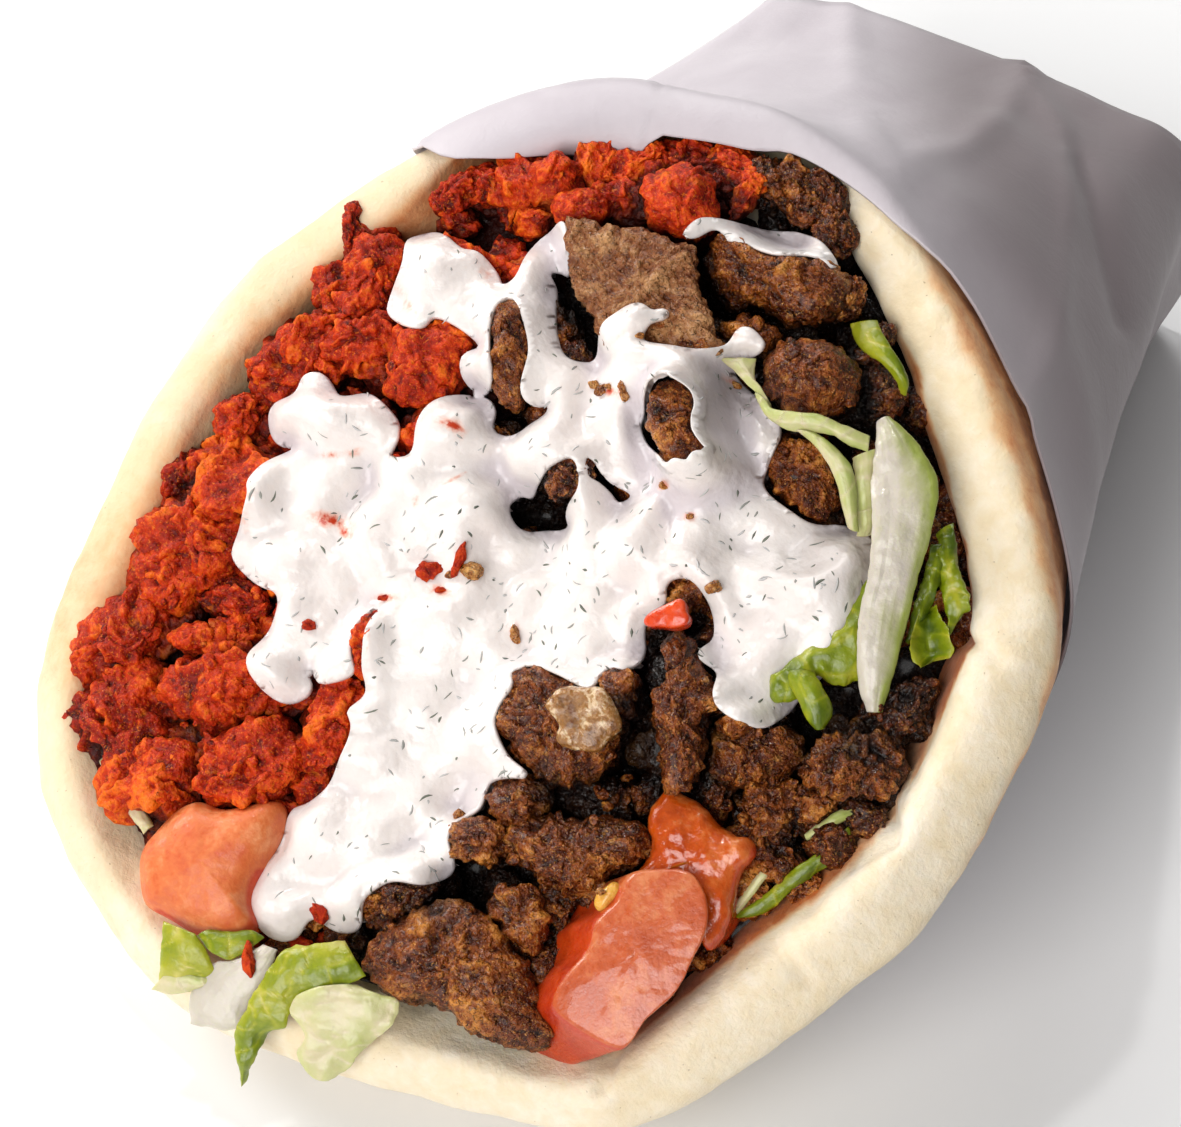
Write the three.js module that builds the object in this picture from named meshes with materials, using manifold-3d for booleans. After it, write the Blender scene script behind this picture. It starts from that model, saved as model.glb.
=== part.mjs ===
// A doner kebab sandwich: one thick round flatbread rolled into a wide cone, filled with red spiced
// chicken on the left and brown doner meat on the right, dressed with white herb sauce, tomato and
// lettuce, and wrapped at the back in white paper. It lies on its back with its mouth facing up.
// Millimetres. +Z is up, +Y runs from the mouth's lip to the closed end, and the origin lies on the
// flat face that the wrap rests on.
import * as THREE from 'three';
import { mergeVertices } from 'three/addons/utils/BufferGeometryUtils.js';
import Module from 'manifold-3d';

const wasm = await Module();
wasm.setup();

// ---- Driving dimensions -------------------------------------------------------------------------

const GAP = 0.35; // clearance between solids that touch
const BREAD = 8; // thickness of the flatbread
const PAPER = 0.8; // thickness of the wrap, folded double
const MOUTH_SLOPE = THREE.MathUtils.degToRad(32);
const MOUTH_MIDDLE = new THREE.Vector3(0, -24, 41.5);
const HEAP_CENTRE = { a: -2.5, b: -6.5 };
const END = { x: -1, y: 85, halfWidth: 32.5, height: 34.5, corner: 4.5 }; // the wrap's back end
const CREST = 2.8; // how far the bread's rounded edge stands out past its faces
const BED_CENTRE_HEIGHT = 4; // the filling's bed above the mouth's plane, in its middle
const SAUCE = 4; // depth of the sauce where it lies thick
const COLUMNS = 32; // steps round the mouth

// The mouth's outer edge, in its own plane: a runs across to the right, b up the slope.
const MOUTH_OUTLINE = [
  [56, 1], [55, 13.5], [48.5, 24], [39, 35], [28, 45.5], [19, 52.5], [7, 57.5], [-2.5, 59],
  [-11, 57], [-21, 55.5], [-31, 49.5], [-40, 41], [-49.5, 28], [-57, 14.5], [-60.5, -1.5],
  [-60.5, -19], [-59.5, -34.5], [-55, -46.5], [-46.5, -56], [-34.5, -64], [-21, -68],
  [-6.5, -67.5], [8, -65], [21, -62.5], [32, -59], [39, -49.5], [45.5, -37.5], [51.5, -27],
  [55, -16],
];

const FINISH = {
  bread: { color: 0xf0e2c0, roughness: 0.75 },
  paper: { color: 0xd9d4da, roughness: 0.6 },
  chicken: { color: 0xb83a14, roughness: 0.5 },
  beef: { color: 0x4f2c17, roughness: 0.45 },
  sauce: { color: 0xf7f5f2, roughness: 0.3 },
  tomato: { color: 0xd9603f, roughness: 0.25 },
  pepper: { color: 0xe0431c, roughness: 0.3 },
  corn: { color: 0xe0a040, roughness: 0.35 },
  onion: { color: 0xb08a5c, roughness: 0.2 },
  leaf: { color: 0x9cc14b, roughness: 0.45 },
  rib: { color: 0xdde3c0, roughness: 0.4 },
};

// ---- The mouth's plane --------------------------------------------------------------------------

const ACROSS = new THREE.Vector3(1, 0, 0);
const UP_SLOPE = new THREE.Vector3(0, Math.cos(MOUTH_SLOPE), Math.sin(MOUTH_SLOPE));
const OUTWARD = new THREE.Vector3(0, -Math.sin(MOUTH_SLOPE), Math.cos(MOUTH_SLOPE));

/** The point a across, b up the slope and h out of the mouth's plane. */
function onMouth(a, b, h = 0) {
  return MOUTH_MIDDLE.clone()
    .addScaledVector(ACROSS, a)
    .addScaledVector(UP_SLOPE, b)
    .addScaledVector(OUTWARD, h);
}

/** A point's place over the mouth, as { a, b, h }. */
function mouthPlace(point) {
  const from = point.clone().sub(MOUTH_MIDDLE);
  return { a: from.dot(ACROSS), b: from.dot(UP_SLOPE), h: from.dot(OUTWARD) };
}

/** The transform from (a, b, h) coordinates to the part's frame. */
const MOUTH_FRAME = new THREE.Matrix4()
  .makeBasis(ACROSS, UP_SLOPE, OUTWARD)
  .setPosition(MOUTH_MIDDLE);

// ---- Meshes and solids --------------------------------------------------------------------------

/** A closed surface through rings of equal length, with a point closing each end. */
function closedLoft(rings, first, last) {
  const points = [first, ...rings.flat(), last];
  const count = rings[0].length;
  const at = (ring, column) => 1 + ring * count + (column % count);
  const index = [];
  for (let c = 0; c < count; c++) {
    index.push(0, at(0, c + 1), at(0, c));
    index.push(points.length - 1, at(rings.length - 1, c), at(rings.length - 1, c + 1));
    for (let r = 0; r + 1 < rings.length; r++) {
      index.push(at(r, c), at(r, c + 1), at(r + 1, c));
      index.push(at(r, c + 1), at(r + 1, c + 1), at(r + 1, c));
    }
  }
  const geometry = new THREE.BufferGeometry().setFromPoints(points);
  geometry.setIndex(signedVolume(points, index) < 0 ? index.reverse() : index);
  return geometry;
}

/** Volume inside a triangle list, negative where its faces point inwards. */
function signedVolume(points, index) {
  let volume = 0;
  for (let i = 0; i < index.length; i += 3) {
    const [p, q, r] = [points[index[i]], points[index[i + 1]], points[index[i + 2]]];
    volume += p.dot(q.clone().cross(r)) / 6;
  }
  return volume;
}

/** The mean of a ring's points. */
function middleOf(ring) {
  return ring.reduce((sum, p) => sum.add(p), new THREE.Vector3()).divideScalar(ring.length);
}

/** A geometry as a solid for joining and cutting. */
function toSolid(geometry) {
  const bare = geometry.clone();
  bare.deleteAttribute('normal');
  bare.deleteAttribute('uv');
  const merged = mergeVertices(bare, 1e-4);
  return new wasm.Manifold(new wasm.Mesh({
    numProp: 3,
    vertProperties: new Float32Array(merged.attributes.position.array),
    triVerts: new Uint32Array(merged.index.array),
  }));
}

/** A solid as a geometry. */
function toGeometry(solid) {
  const { vertProperties, triVerts, numProp } = solid.getMesh();
  const points = [];
  for (let i = 0; i < vertProperties.length; i += numProp) {
    points.push(new THREE.Vector3(vertProperties[i], vertProperties[i + 1], vertProperties[i + 2]));
  }
  return new THREE.BufferGeometry().setFromPoints(points).setIndex([...triVerts]);
}

/** The same geometry with its surface moved out by a distance. */
function grown(geometry, distance) {
  const bare = geometry.clone();
  bare.deleteAttribute('normal');
  bare.deleteAttribute('uv');
  const merged = mergeVertices(bare, 1e-4);
  merged.computeVertexNormals();
  const { position, normal } = merged.attributes;
  for (let i = 0; i < position.count; i++) {
    const moved = new THREE.Vector3().fromBufferAttribute(position, i);
    moved.addScaledVector(new THREE.Vector3().fromBufferAttribute(normal, i), distance);
    position.setXYZ(i, moved.x, moved.y, moved.z);
  }
  return merged;
}

/** The largest separate body of a solid. */
function largestBody(solid) {
  return solid.decompose().sort((x, y) => y.volume() - x.volume())[0];
}

/** Repeatable random numbers from 0 to 1. */
function randomFrom(seed) {
  let state = seed * 7919 + 17;
  return () => {
    state = (state * 1103515245 + 12345) % 2147483648;
    return state / 2147483648;
  };
}

// ---- The cone's wall ----------------------------------------------------------------------------

/** The folded end's edge at an angle round it: a rectangle with rounded corners. */
function endPoint(angle) {
  const power = 2 / END.corner;
  const round = (x) => Math.sign(x) * Math.abs(x) ** power;
  return new THREE.Vector3(
    END.x + END.halfWidth * round(Math.cos(angle)),
    END.y,
    END.height * (0.5 + 0.5 * round(Math.sin(angle))),
  );
}

/** The columns of the wall: each has its angle round the mouth, its rim point and its end point. */
function makeColumns() {
  const outline = MOUTH_OUTLINE.map(([a, b]) => onMouth(a, b));
  const rim = new THREE.CatmullRomCurve3(outline, true, 'centripetal');
  return rim.getSpacedPoints(COLUMNS).slice(0, COLUMNS).map((point) => {
    const { a, b } = mouthPlace(point);
    const angle = Math.atan2(b - HEAP_CENTRE.b, a - HEAP_CENTRE.a);
    return { angle, rim: point, end: endPoint(angle) };
  });
}

const columns = makeColumns();
const column = (i) => columns[(i + COLUMNS) % COLUMNS];
const MOUTH_CENTRE = onMouth(HEAP_CENTRE.a, HEAP_CENTRE.b);
const END_CENTRE = new THREE.Vector3(END.x, END.y, END.height / 2);
const WALL_FLOOR = PAPER + GAP; // the bread's underside, on the wrap

/** How far the wall bows out between mouth and end, as a share of its distance from the spine: it
 * sags outwards underneath, and is drawn in at the top left and at the right. */
function bowAt(angle) {
  const towards = (degrees) => Math.max(0, Math.cos(angle - THREE.MathUtils.degToRad(degrees)));
  return 0.17 * towards(-90) ** 3 - 0.2 * towards(122) ** 4 - 0.1 * towards(-15) ** 4;
}

/** A point of the bread's outer face: depth 0 is the mouth's edge and 1 the closed end. */
function wallPoint(i, depth) {
  const { angle, rim, end } = column(i);
  const point = rim.clone().lerp(end, depth);
  const spine = MOUTH_CENTRE.clone().lerp(END_CENTRE, depth);
  point.addScaledVector(point.clone().sub(spine), bowAt(angle) * 4 * depth * (1 - depth));
  point.z = Math.max(point.z, WALL_FLOOR);
  return point;
}

/** The outer face's outward normal. */
function wallNormal(i, depth) {
  const step = 0.02;
  const near = Math.max(0, depth - step);
  const far = Math.min(1, depth + step);
  const round = wallPoint(i + 1, depth).sub(wallPoint(i - 1, depth));
  const along = wallPoint(i, far).sub(wallPoint(i, near));
  const normal = round.cross(along).normalize();
  const spine = MOUTH_CENTRE.clone().lerp(END_CENTRE, depth);
  return normal.dot(wallPoint(i, depth).sub(spine)) < 0 ? normal.negate() : normal;
}

/** A point on a skin that lies off the bread. Travel below 0 is depth down the outer wall, and from
 * 0 to 1 it goes round the bread's edge, from the outer face to the inner one. */
function skinPoint(i, travel, off) {
  if (travel <= 0) {
    return wallPoint(i, -travel).addScaledVector(wallNormal(i, -travel), off);
  }
  const power = 0.8; // below 1, so that the edge is a flattened half round
  const turn = Math.PI * travel;
  const inward = wallNormal(i, 0).negate();
  const round = column(i + 1).rim.clone().sub(column(i - 1).rim);
  const outward = inward.clone().cross(round).normalize();
  if (outward.dot(OUTWARD) < 0) outward.negate();
  const across = Math.sign(Math.cos(turn)) * Math.abs(Math.cos(turn)) ** power;
  const out = Math.max(0, Math.sin(turn)) ** power;
  return column(i).rim.clone()
    .addScaledVector(inward, BREAD / 2 - (BREAD / 2 + off) * across)
    .addScaledVector(outward, (CREST + off) * out);
}

/** One ring of points, a point for each column. */
function ring(pointOf) {
  return columns.map((_, i) => pointOf(i));
}

/** A ring of the bread's outer face, at a depth. */
function outerRing(depth) {
  return ring((i) => skinPoint(i, -depth, 0));
}

/** A ring on the inside of the bread, at a depth and an inset from its outer face. */
function innerRing(depth, inset) {
  return ring((i) => skinPoint(i, -depth, -inset));
}

// ---- Bread and paper ----------------------------------------------------------------------------

const WALL_STATIONS = [0.28, 0.46, 0.63, 0.79, 0.94]; // depths shared by the bread and the wrap
const EDGE_STATIONS = [0.25, 0.5, 0.75]; // turns round the bread's edge
const INNER_STATIONS = [0.12, 0.3, 0.5, 0.68]; // depths shared by the bread and the filling

/** The flatbread: outer face, rounded edge and inner face, closed at the back. */
function breadGeometry() {
  const outer = [0.12, ...WALL_STATIONS].reverse().map((d) => outerRing(d));
  const edge = [0, ...EDGE_STATIONS, 1].map((t) => ring((i) => skinPoint(i, t, 0)));
  const inner = [...INNER_STATIONS, 0.82].map((d) => innerRing(d, BREAD));
  return closedLoft([...outer, ...edge, ...inner], middleOf(outer[0]), middleOf(inner.at(-1)));
}

/** How deep the wrap's front edge lies at an angle: shallow at the top and right. */
function wrapEdgeDepth(angle) {
  const away = (1 - Math.cos(angle - THREE.MathUtils.degToRad(60))) / 2;
  return 0.02 + 0.2 * away ** 1.5;
}

/** How far the wrap's collar folds round the bread's edge at an angle, as a share of a half turn.
 * It goes right over it at the top left, less far at the top right, and elsewhere it is missing. */
function collarReach(angle) {
  const degrees = THREE.MathUtils.radToDeg(angle);
  const right = 0.5 * THREE.MathUtils.smoothstep(degrees, 62, 72);
  const left = 0.48 * THREE.MathUtils.smoothstep(degrees, 88, 100);
  return (right + left) * (1 - THREE.MathUtils.smoothstep(degrees, 122, 134));
}

/** The paper wrap: a closed bag round the back of the bread, folded over its edge at the top. */
function paperGeometry(inside = GAP, outside = GAP + PAPER) {
  const hem = 0.004; // spacing of the rings past the wrap's edge where it has no collar
  const back = (depth) => () => -depth;
  const towardsEdge = (share) => (angle) => -THREE.MathUtils.lerp(
    WALL_STATIONS[0], wrapEdgeDepth(angle), share);
  const overEdge = (turn, i) => (angle) => {
    const plain = hem * (i + 1) - wrapEdgeDepth(angle);
    const reach = collarReach(angle);
    return THREE.MathUtils.lerp(plain, Math.min(turn, reach), Math.min(1, 4 * reach));
  };
  const travels = [
    ...WALL_STATIONS.map(back).reverse(), towardsEdge(0.5), towardsEdge(1),
    ...[...EDGE_STATIONS, 1].map(overEdge),
  ];
  const skin = (travel, off) => ring((i) => skinPoint(i, travel(column(i).angle), off));
  const inner = [back(1 - PAPER / END.y), ...travels].map((travel) => skin(travel, inside));
  const outer = [back(1), ...travels].map((travel) => skin(travel, outside)).reverse();
  return closedLoft([...inner, ...outer], middleOf(inner[0]), middleOf(outer.at(-1)));
}

// ---- The filling's bed --------------------------------------------------------------------------

const BED_DEPTH = 0.035; // where the bed meets the bread, as a depth down the wall
const bedEdge = innerRing(BED_DEPTH, BREAD + GAP).map(mouthPlace);

/** The bed's edge, as its distance from the heap's centre and its height, at an angle. */
function bedEdgeAt(angle) {
  const polar = bedEdge.map(({ a, b, h }) => ({
    angle: Math.atan2(b - HEAP_CENTRE.b, a - HEAP_CENTRE.a),
    reach: Math.hypot(a - HEAP_CENTRE.a, b - HEAP_CENTRE.b),
    h,
  })).sort((x, y) => x.angle - y.angle);
  const next = polar.findIndex((p) => p.angle > angle);
  const high = polar[next < 0 ? 0 : next];
  const low = polar.at((next < 0 ? 0 : next) - 1);
  const turn = 2 * Math.PI;
  const span = (high.angle - low.angle + turn) % turn;
  const share = ((angle - low.angle + turn) % turn) / span;
  return {
    reach: THREE.MathUtils.lerp(low.reach, high.reach, share),
    h: THREE.MathUtils.lerp(low.h, high.h, share),
  };
}

/** Height of the bed over the mouth's plane: a low dome with an uneven, lumpy top. */
function bedHeight(a, b) {
  const edge = bedEdgeAt(Math.atan2(b - HEAP_CENTRE.b, a - HEAP_CENTRE.a));
  const away = Math.min(1, Math.hypot(a - HEAP_CENTRE.a, b - HEAP_CENTRE.b) / edge.reach);
  const dome = THREE.MathUtils.lerp(BED_CENTRE_HEIGHT, edge.h, away ** 2.4);
  const lumps = 0.9 * Math.sin(a / 3.3 + 1) * Math.cos(b / 3.8) + 0.65 * Math.sin((a + b) / 5);
  return dome + lumps * (1 - away ** 6);
}

/** Rings over the bed's top, from its edge to near its middle. */
function bedRings(lift) {
  return [1, 0.8, 0.55, 0.28].map((share) => ring((i) => {
    const a = THREE.MathUtils.lerp(HEAP_CENTRE.a, bedEdge[i].a, share);
    const b = THREE.MathUtils.lerp(HEAP_CENTRE.b, bedEdge[i].b, share);
    return onMouth(a, b, bedHeight(a, b) + lift);
  }));
}

/** The whole filling below the pieces that show singly: it fills the cone up to the bed's top. */
function fillingGeometry() {
  const wall = [...INNER_STATIONS, 0.79].map((d) => innerRing(d, BREAD + GAP));
  const top = bedRings(0).reverse();
  const summit = onMouth(HEAP_CENTRE.a, HEAP_CENTRE.b, bedHeight(HEAP_CENTRE.a, HEAP_CENTRE.b));
  return closedLoft([...top, ...wall], summit, middleOf(wall.at(-1)));
}

/** The free space for pieces on the bed: over it, between the walls and over the bread's edge. */
function freeSpaceGeometry() {
  const high = 48;
  const wide = 48;
  const summit = onMouth(
    HEAP_CENTRE.a, HEAP_CENTRE.b, bedHeight(HEAP_CENTRE.a, HEAP_CENTRE.b) + GAP);
  const bed = bedRings(GAP).reverse();
  const edge = [1, ...EDGE_STATIONS.toReversed(), 0.02]
    .map((turn) => ring((i) => skinPoint(i, turn, GAP)));
  const outside = [[2, -3], [wide, -3], [wide, high]].map(([out, h]) => ring((i) => {
    const { a, b } = mouthPlace(column(i).rim);
    const away = new THREE.Vector2(a - HEAP_CENTRE.a, b - HEAP_CENTRE.b);
    away.setLength(away.length() + out);
    return onMouth(HEAP_CENTRE.a + away.x, HEAP_CENTRE.b + away.y, h);
  }));
  const lid = onMouth(HEAP_CENTRE.a, HEAP_CENTRE.b, high);
  return closedLoft([...bed, ...edge, ...outside], summit, lid);
}

// The line where chicken meets doner meat, from the top of the mouth to its lip.
const DIVIDE = [
  [11, 72], [1.5, 49.5], [-14.5, 40], [-21, 25.5], [-16, 6.5], [-11, -9.5], [-12, -29],
  [-19, -48], [-16, -80],
];

/** A prism over the mouth on one side of the divide: side -1 is the left, and 1 the right. */
function sideSolid(side) {
  const far = 110;
  const shape = new THREE.Shape();
  DIVIDE.forEach(([a, b], i) => {
    const at = [a + side * GAP / 2, b];
    if (i === 0) shape.moveTo(...at);
    else shape.lineTo(...at);
  });
  shape.lineTo(side * far, DIVIDE.at(-1)[1]);
  shape.lineTo(side * far, DIVIDE[0][1]);
  const prism = new THREE.ExtrudeGeometry(shape, { depth: 400, bevelEnabled: false });
  prism.translate(0, 0, -300);
  return toSolid(prism.applyMatrix4(MOUTH_FRAME));
}

// ---- Pieces of meat -----------------------------------------------------------------------------

// name, a, b, h of the middle, half length, half width, half thickness, yaw in degrees
const BEEF = [
  ['slab_top', -9.5, 33.5, 6.5, 8.5, 7, 4.5, 8],
  ['top_right', 7.5, 38.5, 2.5, 9, 6, 5, 8],
  ['round', 16.5, 30.5, 6.5, 6.5, 5.5, 5, 23],
  ['under_lettuce', 19.5, 19, 1.5, 6, 6, 5, 23],
  ['mid', 1, 29, 5, 6, 3, 3, 13],
  ['ridge', 6, 18.5, 12, 3, 5.5, 5, 20],
  ['pit', -5, 7, 7, 3, 3, 3, 63],
  ['long', -19, 21, 7, 7, 3, 4.5, 111],
  ['onion_bed', 7.5, -20, 7, 8.5, 7, 5.5, 3],
  ['onion_side', 12, -13, 6.5, 4, 4, 3, 23],
  ['notch', 13.5, 1, 5.5, 4, 3, 3, 3],
  ['upright', 19.5, -11, 6.5, 8.5, 4, 4.5, 108],
  ['middle', 28, -13, 3, 7, 5, 4.5, 38],
  ['rim_right', 42.5, -3, 1, 5.5, 3, 3, 53],
  ['dark_right', 40, -10.5, 0, 6.5, 5, 4.5, 43],
  ['by_tomato', 35, -21.5, -1, 5, 4, 3, -37],
  ['left_mid', 5, -31, 6.5, 5, 5, 4.5, 23],
  ['broad', 15.5, -31, 5, 9, 5, 5, 23],
  ['low_mid', 11.5, -41, 5.5, 6, 4, 4, -37],
  ['tongue', -2.5, -45.5, 6.5, 5, 3, 3, 43],
  ['slab_front', 6.5, -51, 6.5, 11.5, 7.5, 5, 1],
];

const CHICKEN = [
  ['tall', -39.5, 21, 1.5, 8.5, 4.5, 4.5, 103],
  ['upper', -29, 16, 4, 9, 5, 4.5, 33],
  ['shelf', -44, 7.5, 0, 8.5, 4.5, 4.5, 53],
  ['side', -44, -9.5, 1.5, 6.5, 6.5, 5, 63],
  ['wing', -47.5, -19, 2.5, 7, 5.5, 4.5, 53],
  ['corner', -50, -32, 3, 7, 5, 4.5, 83],
  ['edge', -45, -42.5, 4, 6.5, 5.5, 4.5, 23],
  ['red_low', -37, -45.5, 5, 6.5, 5.5, 5.5, 23],
  ['front', -27, -39, 5.5, 7, 5.5, 5, 33],
  ['sauce_side', -19, -29.5, 5.5, 7, 3.5, 4.5, 103],
  ['middle', -34.5, -31, 4, 9, 4.5, 4.5, 31],
  ['back_big', -9.5, 44, 1, 4.5, 5, 4.5, 83],
  ['back_left', -25.5, 40, -1.5, 5.5, 4.5, 4.5, 23],
  ['coated_top', -30.5, 25, 2.5, 6, 5, 4, 13],
  ['coated_mid', -35, 3, 1.5, 5.5, 4.5, 4, 3],
  ['coated_right', -21.5, 7, 3, 5, 4, 4, 33],
];

/** A chopped piece of meat: a lump with a few flat cuts across it. */
function chunkGeometry([, a, b, h, length, width, thickness, yaw], seed) {
  const random = randomFrom(seed);
  const cuts = Array.from({ length: 5 }, () => ({
    facing: new THREE.Vector3(random() - 0.5, random() - 0.5, random() - 0.5).normalize(),
    distance: 0.78 + 0.14 * random(),
  }));
  const phase = random() * 6;
  const large = 8;
  const geometry = length > large
    ? new THREE.IcosahedronGeometry(1, 1)
    : new THREE.DodecahedronGeometry(1.06, 0);
  const { position } = geometry.attributes;
  for (let i = 0; i < position.count; i++) {
    const way = new THREE.Vector3().fromBufferAttribute(position, i).normalize();
    let reach = 1 + 0.1 * Math.sin(3 * way.x + phase) * Math.cos(4 * way.y - phase);
    for (const { facing, distance } of cuts) {
      const towards = way.dot(facing);
      if (towards > 0) reach = Math.min(reach, distance / towards);
    }
    way.multiplyScalar(reach).multiply(new THREE.Vector3(length, width, thickness));
    position.setXYZ(i, way.x, way.y, way.z);
  }
  geometry.rotateZ(THREE.MathUtils.degToRad(yaw));
  geometry.translate(a, b, Math.max(h, bedHeight(a, b) + 0.3 * thickness));
  return geometry.applyMatrix4(MOUTH_FRAME);
}

// ---- Vegetables ---------------------------------------------------------------------------------

/** A cut piece with soft edges: an outline over the mouth, from one height to another. */
function slabGeometry({ outline, low, high, soft }) {
  const corners = outline.map(([a, b]) => new THREE.Vector2(a, b));
  const middle = corners.reduce((sum, p) => sum.add(p), new THREE.Vector2())
    .divideScalar(corners.length);
  corners.forEach((corner) => {
    const from = corner.clone().sub(middle);
    corner.addScaledVector(from.normalize(), -soft);
  });
  const shape = new THREE.Shape(corners);
  const slab = new THREE.ExtrudeGeometry(shape, {
    depth: high - low - 2 * soft,
    bevelSize: soft,
    bevelThickness: soft,
    bevelSegments: 2,
  });
  slab.translate(0, 0, low + soft);
  return slab.applyMatrix4(MOUTH_FRAME);
}

// Cut pieces: what they are, the heights of their underside and top, how far their edges are
// rounded, and their outlines.
const SLABS = {
  tomato_left: {
    finish: 'tomato', low: 2.5, high: 11, soft: 2.4,
    outline: [
      [-35, -48.5], [-31, -45], [-25, -43], [-20, -45], [-18, -49.5], [-19.5, -56], [-22.5, -59],
      [-28, -60], [-33, -55],
    ],
  },
  tomato_front: {
    finish: 'tomato', low: 1.5, high: 11, soft: 1.9,
    outline: [
      [17, -49], [17, -43.5], [21, -36], [25, -31], [29, -30.5], [32, -34], [33, -40],
      [31, -46], [27, -52.5], [25, -55], [20.5, -53.5],
    ],
  },
  tomato_back: {
    finish: 'tomato', low: 0, high: 9, soft: 1.6,
    outline: [
      [22, -21], [25, -19.5], [29.5, -22], [34.5, -26], [35, -30.5], [33.5, -35], [29.5, -29.5],
      [25, -29.5], [22, -26.5],
    ],
  },
  pepper_bit: {
    finish: 'pepper', low: 9, high: 11.5, soft: 0.6,
    outline: [[11, -3], [14.5, -1], [17.5, -1], [17, -4], [13.5, -5]],
  },
  onion_bit: {
    finish: 'onion', low: 10.5, high: 14, soft: 1,
    outline: [[7, -17], [9, -14], [13, -13.5], [15.5, -17], [14.5, -21], [10.5, -21.5], [7.5, -20]],
  },
  corn_bit: {
    finish: 'corn', low: 6.5, high: 9.5, soft: 0.8,
    outline: [[19, -37], [21, -36], [22, -33], [21, -32], [19, -33.5]],
  },
};

// A strip's section: a shallow gutter, in half widths across and in thicknesses out.
const STRIP_SECTION = [[1, -0.5], [1, 0.5], [0, 0.9], [-1, 0.5], [-1, -0.5], [0, -0.1]];

/** A strip of lettuce: a thin ribbon along stations [a, b, h, half width, roll in degrees]. */
function stripGeometry(stations, thickness) {
  const path = stations.map(([a, b, h]) => new THREE.Vector3(a, b, h));
  const rings = stations.map(([, , , half, roll], i) => {
    const ahead = path[Math.min(i + 1, path.length - 1)].clone()
      .sub(path[Math.max(i - 1, 0)]).normalize();
    const up = new THREE.Vector3(0, 0, 1);
    const side = ahead.clone().cross(up).normalize()
      .applyAxisAngle(ahead, THREE.MathUtils.degToRad(roll));
    const face = side.clone().cross(ahead).normalize();
    return STRIP_SECTION.map(([across, out]) => path[i].clone()
      .addScaledVector(side, across * half)
      .addScaledVector(face, out * thickness));
  });
  return closedLoft(rings, middleOf(rings[0]), middleOf(rings.at(-1))).applyMatrix4(MOUTH_FRAME);
}

/** A torn leaf: a thin sheet inside an outline of [a, b, h] points. */
function leafGeometry(outline, thickness) {
  const shape = new THREE.Shape(outline.map(([a, b]) => new THREE.Vector2(a, b)));
  const leaf = new THREE.ExtrudeGeometry(shape, { depth: thickness, bevelEnabled: false });
  const { position } = leaf.attributes;
  for (let i = 0; i < position.count; i++) {
    const off = ([a, b]) => Math.hypot(a - position.getX(i), b - position.getY(i));
    const [, , h] = outline.reduce((best, point) => (off(point) < off(best) ? point : best));
    position.setZ(i, position.getZ(i) + h);
  }
  return leaf.applyMatrix4(MOUTH_FRAME);
}

const STRIPS = {
  lettuce_rib: [
    [29, 29, 7, 2.6, 0], [32, 23, 8, 3.5, 5], [35, 15.5, 8.5, 3.7, 8], [37.5, 8, 7.5, 3.5, 5],
    [39, 1, 6.5, 2.7, 0], [41, -4, 5, 1.4, -10],
  ],
  lettuce_curl: [
    [8, 27, 10.5, 1.1, 50], [13.5, 25, 11, 1.6, 40], [19.5, 24.5, 11, 1.8, 30],
    [25, 23, 9.5, 1.8, 10], [28.5, 19, 8, 1.6, 0], [30.5, 14.5, 7, 1.1, 0],
  ],
  lettuce_top: [
    [15, 43, 1.5, 1.3, 30], [19, 39.5, 2, 2.1, 20], [22.5, 37, 2.5, 2.1, 10],
    [26.5, 34, 2.5, 1.3, 0],
  ],
  lettuce_low: [
    [35, -29.5, 4, 1, 30], [38, -25, 5, 1.9, 25], [41, -22, 5.5, 2.1, 20],
    [44.5, -18.5, 5, 1.3, 10],
  ],
  lettuce_low_pale: [
    [38.5, -20.5, 4, 1, 30], [41, -17, 5, 1.6, 25], [43, -15, 5, 1.4, 20], [45.5, -13, 5, 0.8, 10],
  ],
  lettuce_right: [
    [38, 21, 2.5, 1.3, 30], [41, 16.5, 3, 2.1, 25], [43.5, 13, 4, 2.6, 20], [43, 8, 4, 1.9, 0],
    [42, 4, 3, 1.1, 10],
  ],
};

const LEAVES = {
  lettuce_front: [
    [33.5, 9, 7], [34, 4, 7], [31, 0.5, 7], [29, -5, 7], [29, -7, 7], [34, -8, 6.5], [36, -7, 6.5],
    [35.5, -4, 6.5], [38, -1.5, 6.5], [38.5, 3, 7],
  ],
  lettuce_lip_green: [
    [-13.5, -58.5, 10.5], [-9.5, -55, 11], [-4.5, -53.5, 11], [-2, -54, 11], [-2, -56.5, 10],
    [-5, -60.5, 9.5], [-8.5, -65, 9], [-10.5, -72.5, 5.5], [-11.5, -73, 5.5], [-13, -69, 8],
    [-13, -63, 10],
  ],
  lettuce_lip_pale: [
    [-7, -61, 10], [-2.5, -58, 10.5], [3, -55.5, 10], [4.5, -57.5, 9], [4, -61, 8.5],
    [0, -65.5, 7], [-2, -69, 6], [-5, -67.5, 7], [-5, -63.5, 9],
  ],
  lettuce_lip_yellow: [
    [-27, -60.5, 11], [-21, -60.5, 11], [-19, -61.5, 10.5], [-19, -64.5, 9],
    [-23.5, -67, 8], [-25, -65, 9.5],
  ],
};

// ---- Sauce --------------------------------------------------------------------------------------

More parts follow.
